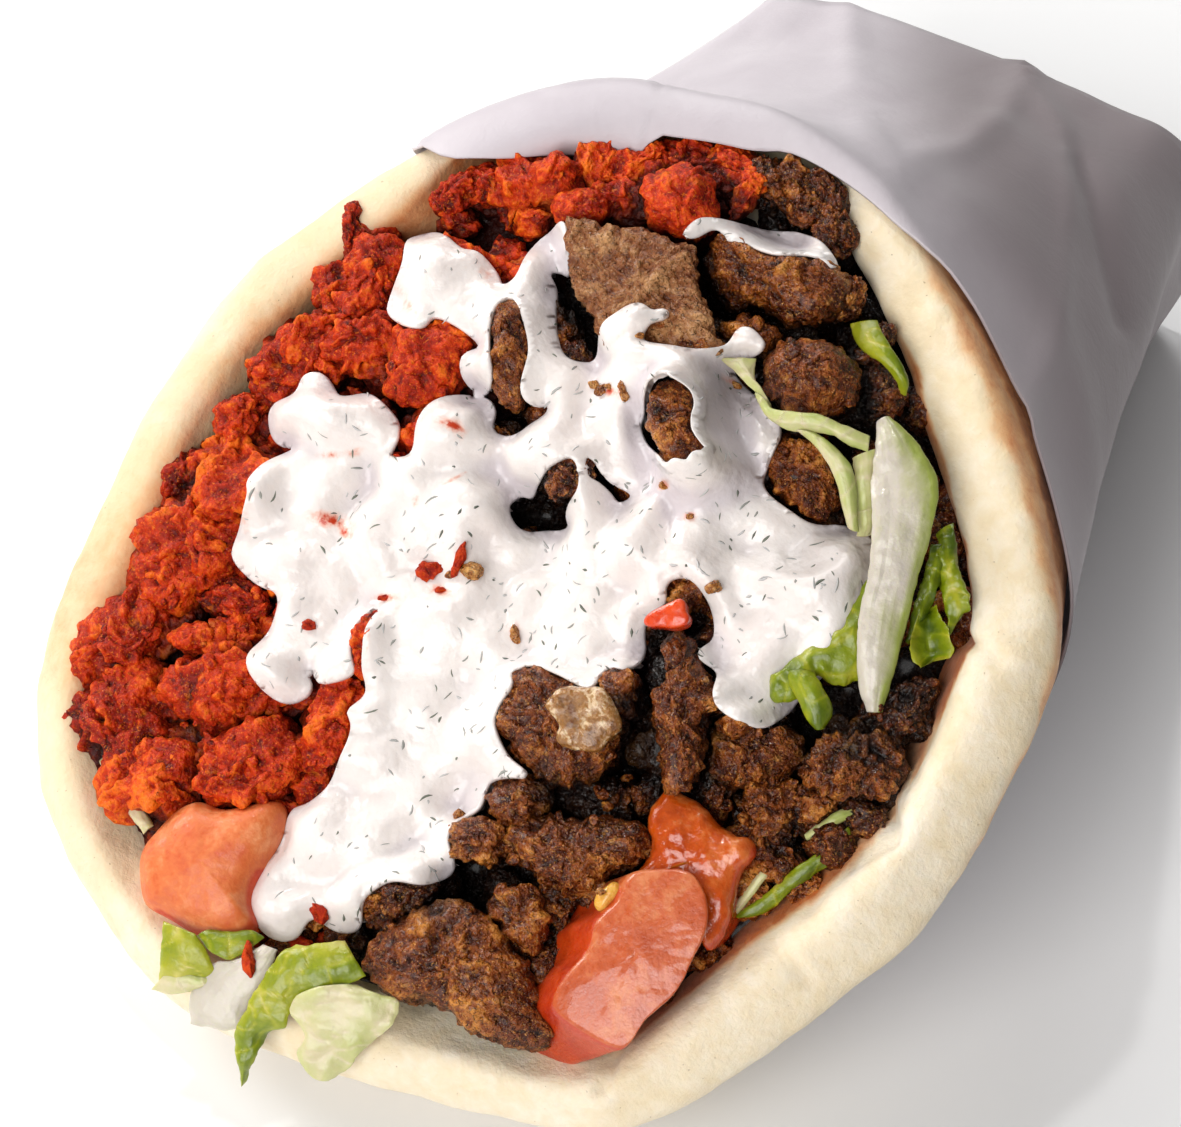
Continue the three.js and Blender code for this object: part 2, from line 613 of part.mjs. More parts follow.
const SAUCE_OUTLINE = [
  [-19, 36.5], [-21, 29.5], [-26, 27.5], [-31, 30.5], [-36.5, 28.5], [-35, 19], [-27, 18.5],
  [-21, 14], [-25, 9.5], [-24, 3], [-27, 3], [-29, 7.5], [-35, 8], [-40.5, 7.5], [-43.5, 1.5],
  [-40, -3], [-42, -7.5], [-40, -15], [-39, -19], [-33, -18.5], [-32, -27], [-27, -30],
  [-24, -28], [-21, -20], [-17, -26.5], [-16, -33.5], [-18, -43.5], [-19.5, -52], [-17, -55.5],
  [-12, -55.5], [-9.5, -52], [-5.5, -51], [-6, -47], [0.5, -41.5], [0, -34], [5.5, -26.5],
  [0, -21.5], [-1.5, -15], [5, -14.5], [13, -9], [11, -5], [12.5, 2], [18, 1], [20.5, -3],
  [19.5, -5.5], [24, -11], [29.5, -10], [32, -4.5], [34.5, 2.5], [34.5, 9], [32, 14.5],
  [26, 14], [19, 15.5], [10.5, 20], [6.5, 23.5], [2.5, 28], [-3, 29], [-9, 26.5], [-8, 22.5],
  [-13, 22.5], [-17, 29],
];

// Humps where the sauce runs over something that stands up: a, b, radius, height.
const SAUCE_HUMPS = [
  [4, 17, 9, 8], [-30.5, 25, 9.5, 9], [-35, 4, 9, 7], [-21.5, 7, 7, 5.5], [9.5, 5, 11, 3],
  [-12, -16, 14.5, 1.5], [24, 1.5, 9.5, 1.5], [-11, -48, 8, 2.5],
];

/** Distance from a place to the sauce's outline, negative outside it. */
function insideSauce(a, b) {
  let nearest = Infinity;
  let inside = false;
  SAUCE_OUTLINE.forEach(([ax, ay], i) => {
    const [bx, by] = SAUCE_OUTLINE[(i + 1) % SAUCE_OUTLINE.length];
    const span = new THREE.Vector2(bx - ax, by - ay);
    const from = new THREE.Vector2(a - ax, b - ay);
    const share = THREE.MathUtils.clamp(from.dot(span) / span.lengthSq(), 0, 1);
    nearest = Math.min(nearest, from.addScaledVector(span, -share).length());
    if ((ay > b) !== (by > b) && a < ax + (b - ay) * (bx - ax) / (by - ay)) inside = !inside;
  });
  return inside ? nearest : -nearest;
}

/** Height of the sauce's top: it is thick inside its outline, round at its edge and humped. */
function sauceTop(a, b) {
  const roundness = 3.2;
  const share = THREE.MathUtils.clamp((insideSauce(a, b) + 0.8) / roundness, 0, 1);
  const depth = SAUCE * (0.35 + 0.65 * Math.sqrt(1 - (1 - share) ** 2));
  const hump = SAUCE_HUMPS.reduce((sum, [x, y, radius, height]) => {
    const away = Math.min(1, Math.hypot(a - x, b - y) / radius);
    return sum + height * (1 - away * away) ** 2;
  }, 0);
  return bedHeight(a, b) + depth + hump;
}

/** A block over the mouth from far below up to a height at every place. */
function blockUpTo(heightAt) {
  const [west, east, south, north, step, low] = [-48, 40, -59, 42, 8.5, -48];
  const aCount = Math.round((east - west) / step);
  const bCount = Math.round((north - south) / step);
  const geometry = new THREE.BoxGeometry(east - west, north - south, 1, aCount, bCount, 1);
  geometry.translate((east + west) / 2, (north + south) / 2, 0);
  const { position } = geometry.attributes;
  for (let i = 0; i < position.count; i++) {
    const top = position.getZ(i) > 0;
    position.setZ(i, top ? heightAt(position.getX(i), position.getY(i)) : low);
  }
  return toSolid(geometry.applyMatrix4(MOUTH_FRAME));
}

/** The pool of white sauce over the middle of the filling, before it is cut by what it lies on. */
function sauceSolid() {
  const shape = new THREE.Shape(SAUCE_OUTLINE.map(([a, b]) => new THREE.Vector2(a, b)));
  const prism = new THREE.ExtrudeGeometry(shape, { depth: 120, bevelEnabled: false });
  prism.translate(0, 0, -50);
  return blockUpTo(sauceTop).intersect(toSolid(prism.applyMatrix4(MOUTH_FRAME)));
}

// ---- Putting it together ------------------------------------------------------------------------

const wrap = new THREE.Group();
wrap.name = 'doner_kebab_sandwich';

/** Adds one named piece with its finish. */
function addPiece(name, geometry, finish) {
  const material = new THREE.MeshStandardMaterial({ ...FINISH[finish], metalness: 0 });
  const mesh = new THREE.Mesh(geometry, material);
  mesh.name = name;
  wrap.add(mesh);
}

addPiece('bread', breadGeometry(), 'bread');
const paper = toSolid(paperGeometry()).subtract(toSolid(grown(breadGeometry(), GAP / 2)));
addPiece('paper_wrap', toGeometry(largestBody(paper)), 'paper');

const filling = toSolid(fillingGeometry());
addPiece('chicken_heap', toGeometry(largestBody(filling.intersect(sideSolid(-1)))), 'chicken');
addPiece('beef_heap', toGeometry(largestBody(filling.intersect(sideSolid(1)))), 'beef');

// Pieces on the bed, the uppermost first: each is cut by those before it.
const loose = [
  ...Object.entries(SLABS).map(([name, slab]) => [name, slabGeometry(slab), slab.finish]),
  ...Object.entries(STRIPS).map(([name, stations]) => [
    name, stripGeometry(stations, 1), name === 'lettuce_rib' ? 'rib' : 'leaf']),
  ...Object.entries(LEAVES).map(([name, outline]) => [name, leafGeometry(outline, 0.9), 'leaf']),
  ...BEEF.map((row, i) => [`beef_${row[0]}`, chunkGeometry(row, i + 1), 'beef']),
  ...CHICKEN.map((row, i) => [`chicken_${row[0]}`, chunkGeometry(row, i + 41), 'chicken']),
];

const space = toSolid(freeSpaceGeometry()).subtract(toSolid(paperGeometry(0, PAPER + 2 * GAP)));
const taken = [];

/** Adds a piece of what a solid keeps once the pieces before it are cut away. */
function addCutPiece(name, solid, finish) {
  const left = taken.reduce((rest, other) => rest.subtract(other), solid.intersect(space));
  if (left.isEmpty()) throw new Error(`${name} is buried`);
  addPiece(name, toGeometry(largestBody(left)), finish);
}

for (const [name, geometry, finish] of loose) {
  addCutPiece(name, toSolid(geometry), finish);
  taken.push(toSolid(grown(geometry, GAP)));
}
addCutPiece('sauce', sauceSolid(), 'sauce');

export default wrap;
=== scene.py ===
"""A doner kebab sandwich, finished: bread, paper wrap, meat, sauce and salad, in a plain studio.

Shapes are worked out in millimetres in the part's own frame: +Z up, +Y from the mouth to the
closed end. The mouth has a plane of its own, with a across, b up its slope and h out of it.
"The picture" is what the camera sees, in pixels with y running down. Meshes are made in metres.
"""

import logging
import math
from dataclasses import dataclass, field
from enum import Enum
from typing import Any, Sequence

import bmesh
import bpy
import numpy as np
from mathutils import Matrix, Vector
from mathutils.bvhtree import BVHTree


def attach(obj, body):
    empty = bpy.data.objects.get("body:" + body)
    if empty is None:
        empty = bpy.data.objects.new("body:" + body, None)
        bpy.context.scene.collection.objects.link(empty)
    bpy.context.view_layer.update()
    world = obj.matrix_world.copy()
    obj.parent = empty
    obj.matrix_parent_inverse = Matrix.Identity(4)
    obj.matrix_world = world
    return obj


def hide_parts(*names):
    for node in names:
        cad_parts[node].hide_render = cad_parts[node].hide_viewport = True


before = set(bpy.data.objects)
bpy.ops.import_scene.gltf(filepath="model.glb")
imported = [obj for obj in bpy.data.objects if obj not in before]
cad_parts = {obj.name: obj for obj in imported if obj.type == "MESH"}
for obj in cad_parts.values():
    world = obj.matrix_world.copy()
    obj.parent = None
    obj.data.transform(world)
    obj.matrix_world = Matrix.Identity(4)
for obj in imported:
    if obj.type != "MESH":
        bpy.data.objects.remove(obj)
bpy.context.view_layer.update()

LOG = logging.getLogger("kebab")
MM = 0.001
TURN = 2 * math.pi

# Sizes shared with the part's solids, in millimetres.
GAP = 0.35
BREAD = 8.0
PAPER = 0.8
CREST = 2.8
MOUTH_SLOPE = math.radians(32)
MOUTH_MIDDLE = np.array([0.0, -24.0, 41.5])
HEAP_CENTRE = np.array([-2.5, -6.5])
END_X, END_Y, END_HALF, END_HEIGHT = -1.0, 85.0, 32.5, 34.5
END_POWER = 4.5  # how square the closed end's corners are
BED_CENTRE = 4.0
BED_DEPTH = 0.035  # as a share of the wall's length

MOUTH_OUTLINE = [
    (56, 1), (55, 13.5), (48.5, 24), (39, 35), (28, 45.5), (19, 52.5), (7, 57.5), (-2.5, 59),
    (-11, 57), (-21, 55.5), (-31, 49.5), (-40, 41), (-49.5, 28), (-57, 14.5), (-60.5, -1.5),
    (-60.5, -19), (-59.5, -34.5), (-55, -46.5), (-46.5, -56), (-34.5, -64), (-21, -68),
    (-6.5, -67.5), (8, -65), (21, -62.5), (32, -59), (39, -49.5), (45.5, -37.5), (51.5, -27),
    (55, -16),
]

# The line where chicken meets doner meat, from the top of the mouth to its lip.
DIVIDE = [
    (11, 72), (1.5, 49.5), (-14.5, 40), (-21, 25.5), (-16, 6.5), (-11, -9.5), (-12, -29),
    (-19, -48), (-16, -80),
]

Pixels = tuple[tuple[float, float], ...]
Shades = tuple[tuple[float, str], ...]


# ---- Numbers and noise --------------------------------------------------------------------------


def smoothstep(value: Any, low: float, high: float) -> Any:
    """A smooth rise from 0 at low to 1 at high.

    Args:
        value: a number or an array.
        low: where the rise starts.
        high: where it ends.

    Returns:
        The rise at each value.
    """
    share = np.clip((value - low) / (high - low), 0.0, 1.0)
    return share * share * (3 - 2 * share)


def blend(start: Any, end: Any, share: Any) -> Any:
    """The value a share of the way from start to end."""
    return start + (end - start) * share


def bell(away: Any) -> Any:
    """A soft bump that is 1 at 0 and dies away past 1."""
    return np.exp(-(away**2))


def unit(vectors: np.ndarray) -> np.ndarray:
    """Vectors at length 1."""
    return vectors / np.maximum(np.linalg.norm(vectors, axis=-1, keepdims=True), 1e-9)


def turned(away: np.ndarray, degrees: float) -> tuple[np.ndarray, np.ndarray]:
    """How far rows of two numbers reach along a direction and across it.

    Args:
        away: the rows.
        degrees: the direction.

    Returns:
        The reach along it and the reach across it.
    """
    turn = math.radians(degrees)
    along = away[..., 0] * math.cos(turn) + away[..., 1] * math.sin(turn)
    return along, away[..., 1] * math.cos(turn) - away[..., 0] * math.sin(turn)


class Noise:
    """Repeatable noise through space."""

    CORNERS = np.array([[x, y, z] for x in (0, 1) for y in (0, 1) for z in (0, 1)])
    AROUND = np.array([[x, y, z] for x in (-1, 0, 1) for y in (-1, 0, 1) for z in (-1, 0, 1)])

    def __init__(self, seed: int) -> None:
        """Draws the noise's tables from a seed."""
        rng = np.random.default_rng(seed)
        self.order = rng.permutation(256)
        self.ways = unit(rng.normal(size=(256, 3)))
        self.spots = rng.random((256, 3))

    def _pick(self, cell: np.ndarray) -> np.ndarray:
        """A table row for each whole-numbered cell."""
        cell = cell & 255
        row = self.order[(self.order[cell[..., 0]] + cell[..., 1]) & 255]
        return self.order[(row + cell[..., 2]) & 255]

    def smooth(self, points: np.ndarray) -> np.ndarray:
        """Smooth noise from about -1 to 1, with features a unit across.

        Args:
            points: places, in the size of the features.

        Returns:
            The noise at each place.
        """
        base = np.floor(points).astype(np.int64)
        part = points - base
        fade = part**3 * (part * (part * 6 - 15) + 10)
        total = np.zeros(points.shape[:-1])
        for corner in self.CORNERS:
            way = self.ways[self._pick(base + corner)]
            weight = np.prod(np.where(corner == 1, fade, 1 - fade), axis=-1)
            total += weight * ((part - corner) * way).sum(-1)
        return total * 1.7

    def layered(self, points: np.ndarray) -> np.ndarray:
        """Smooth noise with two finer layers on it, each half as strong as the last."""
        return np.sum([0.5**i * self.smooth(points * 2.0**i + 17.3 * i) for i in range(3)], axis=0)

    def swirl(self, points: np.ndarray) -> np.ndarray:
        """Three noises at once, as a vector for each place."""
        return np.stack([self.smooth(points + shift) for shift in (0.0, 31.7, 67.1)], axis=-1)

    def nearest(self, points: np.ndarray) -> np.ndarray:
        """Distances to the nearest of spots that are scattered about a unit apart.

        Args:
            points: places, in units of the spots' spacing.

        Returns:
            The distance for each place.
        """
        base = np.floor(points).astype(np.int64)
        found = np.full(points.shape[:-1], 9.0)
        for step in self.AROUND:
            cell = base + step
            away = np.linalg.norm(points - cell - self.spots[self._pick(cell)], axis=-1)
            found = np.minimum(found, away)
        return found


def smooth_path(points: Any, count: int) -> np.ndarray:
    """An open smooth curve through points, evenly stepped from point to point.

    Args:
        points: rows of numbers.
        count: number of rows to return.

    Returns:
        The curve's rows, with every column smoothed alike.
    """
    rows = np.asarray(points, float)
    padded = np.vstack([2 * rows[0] - rows[1], rows, 2 * rows[-1] - rows[-2]])
    at = np.linspace(0, len(rows) - 1, count)
    step = np.minimum(at.astype(int), len(rows) - 2)
    t = (at - step)[:, None]
    p, q, r, s = (padded[step + i] for i in range(4))
    return 0.5 * (2 * q + (r - p) * t + (2 * p - 5 * q + 4 * r - s) * t**2
                  + (3 * q - p - 3 * r + s) * t**3)


def spaced_loop(corners: np.ndarray, count: int, soft: float) -> np.ndarray:
    """Points evenly spaced on the closed centripetal curve through corners.

    Args:
        corners: rows of two or three numbers.
        count: number of points to return.
        soft: distance over which the curve is then smoothed.

    Returns:
        The points.
    """
    p, q, r, s = (np.roll(corners, 1 - i, 0) for i in range(4))
    d0, d1, d2 = (np.sqrt(np.linalg.norm(y - x, axis=1))[:, None]
                  for x, y in ((p, q), (q, r), (r, s)))
    leave = ((q - p) / d0 - (r - p) / (d0 + d1) + (r - q) / d1) * d1
    arrive = ((r - q) / d1 - (s - q) / (d1 + d2) + (s - r) / d2) * d1
    t = np.linspace(0, 1, 32, endpoint=False)[None, :, None]
    q, r, leave, arrive = (x[:, None, :] for x in (q, r, leave, arrive))
    curve = ((2 * t**3 - 3 * t**2 + 1) * q + (t**3 - 2 * t**2 + t) * leave
             + (3 * t**2 - 2 * t**3) * r + (t**3 - t**2) * arrive)
    curve = curve.reshape(-1, corners.shape[1])
    loop = np.vstack([curve, curve[:1]])
    length = np.concatenate([[0], np.cumsum(np.linalg.norm(np.diff(loop, axis=0), axis=1))])
    at = np.linspace(0, length[-1], count, endpoint=False)
    even = np.stack([np.interp(at, length, column) for column in loop.T], axis=-1)
    waves = np.fft.fftfreq(count, 1 / count) * TURN / length[-1]
    gain = np.exp(-0.5 * (waves * soft) ** 2)[:, None]
    return np.fft.ifft(np.fft.fft(even, axis=0) * gain, axis=0).real


def outline_distance(places: np.ndarray, outline: Any, closed: bool = True) -> np.ndarray:
    """Distance from places to an outline in a plane.

    Args:
        places: rows of two numbers.
        outline: the outline's corners.
        closed: whether its last corner joins its first; an open line has no inside.

    Returns:
        The distance, positive inside a closed outline and negative outside it. An open line
        gives it positive on the right of its direction in the picture.
    """
    corners = np.asarray(outline, float)
    nearest = np.full(len(places), 1e9)
    side = np.ones(len(places))
    inside = np.zeros(len(places), bool)
    starts = corners if closed else corners[:-1]
    for start, end in zip(starts, np.roll(corners, -1, 0)):
        span = end - start
        away = places - start
        share = np.clip(away @ span / max(span @ span, 1e-9), 0, 1)
        off = np.linalg.norm(away - share[:, None] * span, axis=1)
        closer = off < nearest
        nearest = np.where(closer, off, nearest)
        turn = span[0] * away[:, 1] - span[1] * away[:, 0]
        side = np.where(closer, np.sign(turn), side)
        if closed and start[1] != end[1]:
            crosses = (start[1] > places[:, 1]) != (end[1] > places[:, 1])
            at = start[0] + (places[:, 1] - start[1]) * span[0] / span[1]
            inside ^= crosses & (places[:, 0] < at)
    return np.where(inside, nearest, -nearest) if closed else nearest * side


# ---- Where things are ---------------------------------------------------------------------------


class Mouth:
    """The plane of the sandwich's mouth."""

    ACROSS = np.array([1.0, 0.0, 0.0])
    UP = np.array([0.0, math.cos(MOUTH_SLOPE), math.sin(MOUTH_SLOPE)])
    OUT = np.array([0.0, -math.sin(MOUTH_SLOPE), math.cos(MOUTH_SLOPE)])
    AXES = np.stack([ACROSS, UP, OUT])

    @classmethod
    def point(cls, places: Any) -> np.ndarray:
        """Points in the part's frame from rows of a, b and h."""
        return MOUTH_MIDDLE + np.asarray(places, float) @ cls.AXES

    @classmethod
    def place(cls, points: np.ndarray) -> np.ndarray:
        """Rows of a, b and h from points in the part's frame."""
        return (points - MOUTH_MIDDLE) @ cls.AXES.T


@dataclass(frozen=True)
class Viewpoint:
    """Where the camera stands, and how its picture maps to the part. Degrees and millimetres."""

    azimuth: float = 29.0
    elevation: float = 50.0
    distance: float = 448.0
    width: int = 1181
    height: int = 1127
    pixel: float = 0.12  # size of a pixel at the target
    sensor: float = 36.0
    clip: tuple[float, float] = (0.01, 20.0)  # in metres

    @property
    def axes(self) -> tuple[np.ndarray, np.ndarray, np.ndarray]:
        """The directions to the right, up and back towards the camera."""
        turn, tilt = math.radians(self.azimuth), math.radians(self.elevation)
        back = np.array([math.sin(turn) * math.cos(tilt), -math.cos(turn) * math.cos(tilt),
                         math.sin(tilt)])
        right = np.array([math.cos(turn), math.sin(turn), 0.0])
        return right, np.cross(back, right), back

    @property
    def eye(self) -> np.ndarray:
        """The camera's place."""
        return MOUTH_MIDDLE + self.axes[2] * self.distance

    @property
    def focal(self) -> float:
        """The distance at which a pixel is one unit wide."""
        return self.distance / self.pixel

    def pixels(self, points: np.ndarray) -> np.ndarray:
        """Where points show in the picture.

        Args:
            points: points in the part's frame.

        Returns:
            Rows of x and y in pixels.
        """
        right, up, back = self.axes
        away = points - self.eye
        scale = self.focal / -(away @ back)
        return np.stack([self.width / 2 + away @ right * scale,
                         self.height / 2 - away @ up * scale], axis=-1)

    def rays(self, pixels: np.ndarray) -> np.ndarray:
        """The directions from the camera through pixels.

        Args:
            pixels: one pair of x and y, or rows of them.

        Returns:
            A direction for each pixel.
        """
        right, up, back = self.axes
        x, y = pixels[..., :1] - self.width / 2, pixels[..., 1:] - self.height / 2
        return unit(right * x - up * y - back * self.focal)

    def on_mouth(self, pixels: Any, h: Any) -> np.ndarray:
        """Where pixels lie at a height over the mouth.

        Args:
            pixels: one pair of x and y, or rows of them.
            h: the height for each, or one for all.

        Returns:
            The a, b and h of each pixel's place.
        """
        ways = self.rays(np.asarray(pixels, float))
        reach = (h - (self.eye - MOUTH_MIDDLE) @ Mouth.OUT) / (ways @ Mouth.OUT)
        return Mouth.place(self.eye + ways * reach[..., None])

    def make(self) -> None:
        """Adds the camera to the scene."""
        data = bpy.data.cameras.new("camera")
        data.sensor_width = self.sensor
        data.lens = self.sensor * self.focal / self.width
        data.clip_start, data.clip_end = self.clip
        camera = bpy.data.objects.new("camera", data)
        turn = Matrix(np.stack(self.axes, axis=1).tolist())
        camera.matrix_world = Matrix.Translation(Vector(self.eye * MM)) @ turn.to_4x4()
        bpy.context.scene.collection.objects.link(camera)
        bpy.context.scene.camera = camera


VIEW = Viewpoint()


class Wall:
    """The cone of bread and paper, as columns round the mouth with stations along each.

    A station below 0 is a depth down the outer wall, and from 0 to 1 it is a turn round the
    bread's edge, from the outer face to the inner one.
    """

    SOFT = 4.0  # how far the mouth's outline is smoothed
    # How the wall bows between its ends: strength, the angle that it faces and how narrowly.
    BOWS = ((0.17, -90, 3), (-0.2, 122, 4), (-0.1, -15, 4))
    SWELL = 1.3  # how far the right side stands out
    EDGE_POWER = 0.8  # the section of the bread's edge, which would be a half ellipse at 1

    def __init__(self, columns: int) -> None:
        """Spaces the columns evenly round the mouth's outline.

        Args:
            columns: number of columns.
        """
        self.count = columns
        self.rim = spaced_loop(Mouth.point([(a, b, 0.0) for a, b in MOUTH_OUTLINE]), columns,
                               self.SOFT)
        away = Mouth.place(self.rim)[:, :2] - HEAP_CENTRE
        self.angle = np.arctan2(away[:, 1], away[:, 0])
        self.degrees = np.degrees(self.angle)
        self.end = self._end(self.angle)
        self.centre = Mouth.point([*HEAP_CENTRE, 0.0])
        self.end_centre = np.array([END_X, END_Y, END_HEIGHT / 2])
        self.bow = sum(strength * self._towards(degrees) ** power
                       for strength, degrees, power in self.BOWS)
        self._rim_normal = self.normal(np.zeros(columns))
        outward = unit(np.cross(-self._rim_normal, self._round(self.rim)))
        self._outward = outward * np.where(outward @ Mouth.OUT < 0, -1.0, 1.0)[:, None]
        self.swell = self.SWELL * self.sector(-48, 58, 30)

    def _towards(self, degrees: float) -> np.ndarray:
        """How nearly each column faces an angle, from 0 to 1."""
        return np.maximum(0, np.cos(self.angle - math.radians(degrees)))

    def sector(self, low: float, high: float, soft: float) -> np.ndarray:
        """Columns between two angles in degrees.

        Args:
            low: the angle where the sector starts.
            high: the angle where it ends.
            soft: the angle over which each end fades.

        Returns:
            How far each column is in it, from 0 to 1.
        """
        middle, half = (low + high) / 2, (high - low) / 2
        away = np.abs((self.degrees - middle + 180) % 360 - 180)
        return smoothstep(half + soft / 2 - away, 0, soft)

    def _round(self, ring: np.ndarray) -> np.ndarray:
        """The way round the mouth at each point of a ring."""
        step = max(1, self.count // 64)
        return np.roll(ring, -step, 0) - np.roll(ring, step, 0)

    @staticmethod
    def _end(angle: np.ndarray) -> np.ndarray:
        """The closed end's edge at each angle: a rectangle with rounded corners.

        Args:
            angle: each column's angle.

        Returns:
            A point for each column.
        """
        power = 2 / END_POWER
        across, up = (np.sign(x) * np.abs(x) ** power for x in (np.cos(angle), np.sin(angle)))
        return np.stack([END_X + END_HALF * across, np.full_like(angle, END_Y),
                         END_HEIGHT * (0.5 + 0.5 * up)], axis=-1)

    def outer(self, depth: np.ndarray) -> np.ndarray:
        """The bread's outer face.

        Args:
            depth: for each column, from 0 at the edge to 1 at the closed end.

        Returns:
            A point for each column.
        """
        share = depth[:, None]
        point = blend(self.rim, self.end, share)
        spine = blend(self.centre, self.end_centre, share)
        point = point + (point - spine) * self.bow[:, None] * 4 * share * (1 - share)
        point[:, 2] = np.maximum(point[:, 2], PAPER + GAP)
        return point

    def normal(self, depth: np.ndarray) -> np.ndarray:
        """The way out of the bread's outer face.

        Args:
            depth: for each column, as for the face.

        Returns:
            A normal for each column.
        """
        at = self.outer(depth)
        along = self.outer(np.minimum(1, depth + 0.02)) - self.outer(np.maximum(0, depth - 0.02))
        normal = unit(np.cross(self._round(at), along))
        spine = blend(self.centre, self.end_centre, depth[:, None])
        return np.where(((at - spine) * normal).sum(1) < 0, -1.0, 1.0)[:, None] * normal

    def skin(self, station: Any, off: Any = 0.0) -> np.ndarray:
        """Points that lie off the bread.

        Args:
            station: for each column, or one for all.
            off: distance out of the bread's surface, for each column or one for all.

        Returns:
            A point for each column.
        """
        station = np.broadcast_to(np.asarray(station, float), (self.count,))
        off = np.broadcast_to(np.asarray(off, float), (self.count,))[:, None]
        depth = np.maximum(0, -station)
        wall = self.outer(depth) + self.normal(depth) * off
        turn = np.pi * np.maximum(0, station)[:, None]
        across = np.sign(np.cos(turn)) * np.abs(np.cos(turn)) ** self.EDGE_POWER
        out = np.maximum(0, np.sin(turn)) ** self.EDGE_POWER
        edge = (self.rim - self._rim_normal * (BREAD / 2 - (BREAD / 2 + off) * across)
                + self._outward * (CREST + off) * out)
        return np.where(station[:, None] <= 0, wall, edge)


class Bed:
    """The top of the filling, which the loose pieces lie on. Places on it are rows of a and b."""

    def __init__(self) -> None:
        """Finds where the filling meets the bread, all round."""
        edge = Mouth.place(Wall(192).skin(-BED_DEPTH, -(BREAD + GAP)))
        angle, reach = self._polar(edge[:, :2])
        order = np.argsort(angle)
        self._edge = angle[order], reach[order], edge[order, 2]

    @staticmethod
    def _polar(places: np.ndarray) -> tuple[np.ndarray, np.ndarray]:
        """The angle and distance of places from the heap's centre."""
        away = places - HEAP_CENTRE
        return np.arctan2(away[..., 1], away[..., 0]), np.linalg.norm(away, axis=-1)

    def edge(self, angle: np.ndarray) -> tuple[np.ndarray, np.ndarray]:
        """The distance and height of the bed's edge at angles round the heap's centre."""
        at, reach, rise = self._edge
        return np.interp(angle, at, reach, period=TURN), np.interp(angle, at, rise, period=TURN)

    def out(self, angle: np.ndarray, share: Any) -> np.ndarray:
        """Places at angles round the heap's centre, a share of the way out to the bread."""
        reach = self.edge(angle)[0] * share
        return HEAP_CENTRE + np.stack([reach * np.cos(angle), reach * np.sin(angle)], axis=-1)

    def strewn(self, rng: np.random.Generator, count: int, share: float) -> np.ndarray:
        """Random places, evenly strewn.

        Args:
            rng: what they are drawn from.
            count: number of places.
            share: how far out they reach, as a share of the way to the bread.

        Returns:
            The places.
        """
        angle = rng.uniform(-math.pi, math.pi, count)
        return self.out(angle, np.sqrt(rng.uniform(0, 1, count)) * share)

    def height(self, places: np.ndarray) -> np.ndarray:
        """The bed's top over the mouth's plane: a low heap with gentle lumps.

        Args:
            places: one place or an array of them.

        Returns:
            The height at each place.
        """
        a, b = places[..., 0], places[..., 1]
        angle, distance = self._polar(places)
        reach, rise = self.edge(angle)
        away = np.minimum(1, distance / reach)
        lumps = 0.9 * np.sin(a / 3.3 + 1) * np.cos(b / 3.8) + 0.65 * np.sin((a + b) / 5)
        return blend(BED_CENTRE, rise, away**2.4) + lumps * (1 - away**6)


BED = Bed()


@dataclass(frozen=True)
class Crease:
    """A crease along a line in the picture, with its half width in pixels and its height."""

    line: Pixels
    width: float
    height: float

    def rise(self, places: np.ndarray, power: float) -> np.ndarray:
        """How high the crease stands.

        Args:
            places: rows of x and y in pixels.
            power: how abruptly it falls away.

        Returns:
            The height at each place.
        """
        away = np.abs(outline_distance(places, self.line, closed=False))
        return self.height * np.exp(-((away / self.width) ** power))


# ---- Meshes -------------------------------------------------------------------------------------


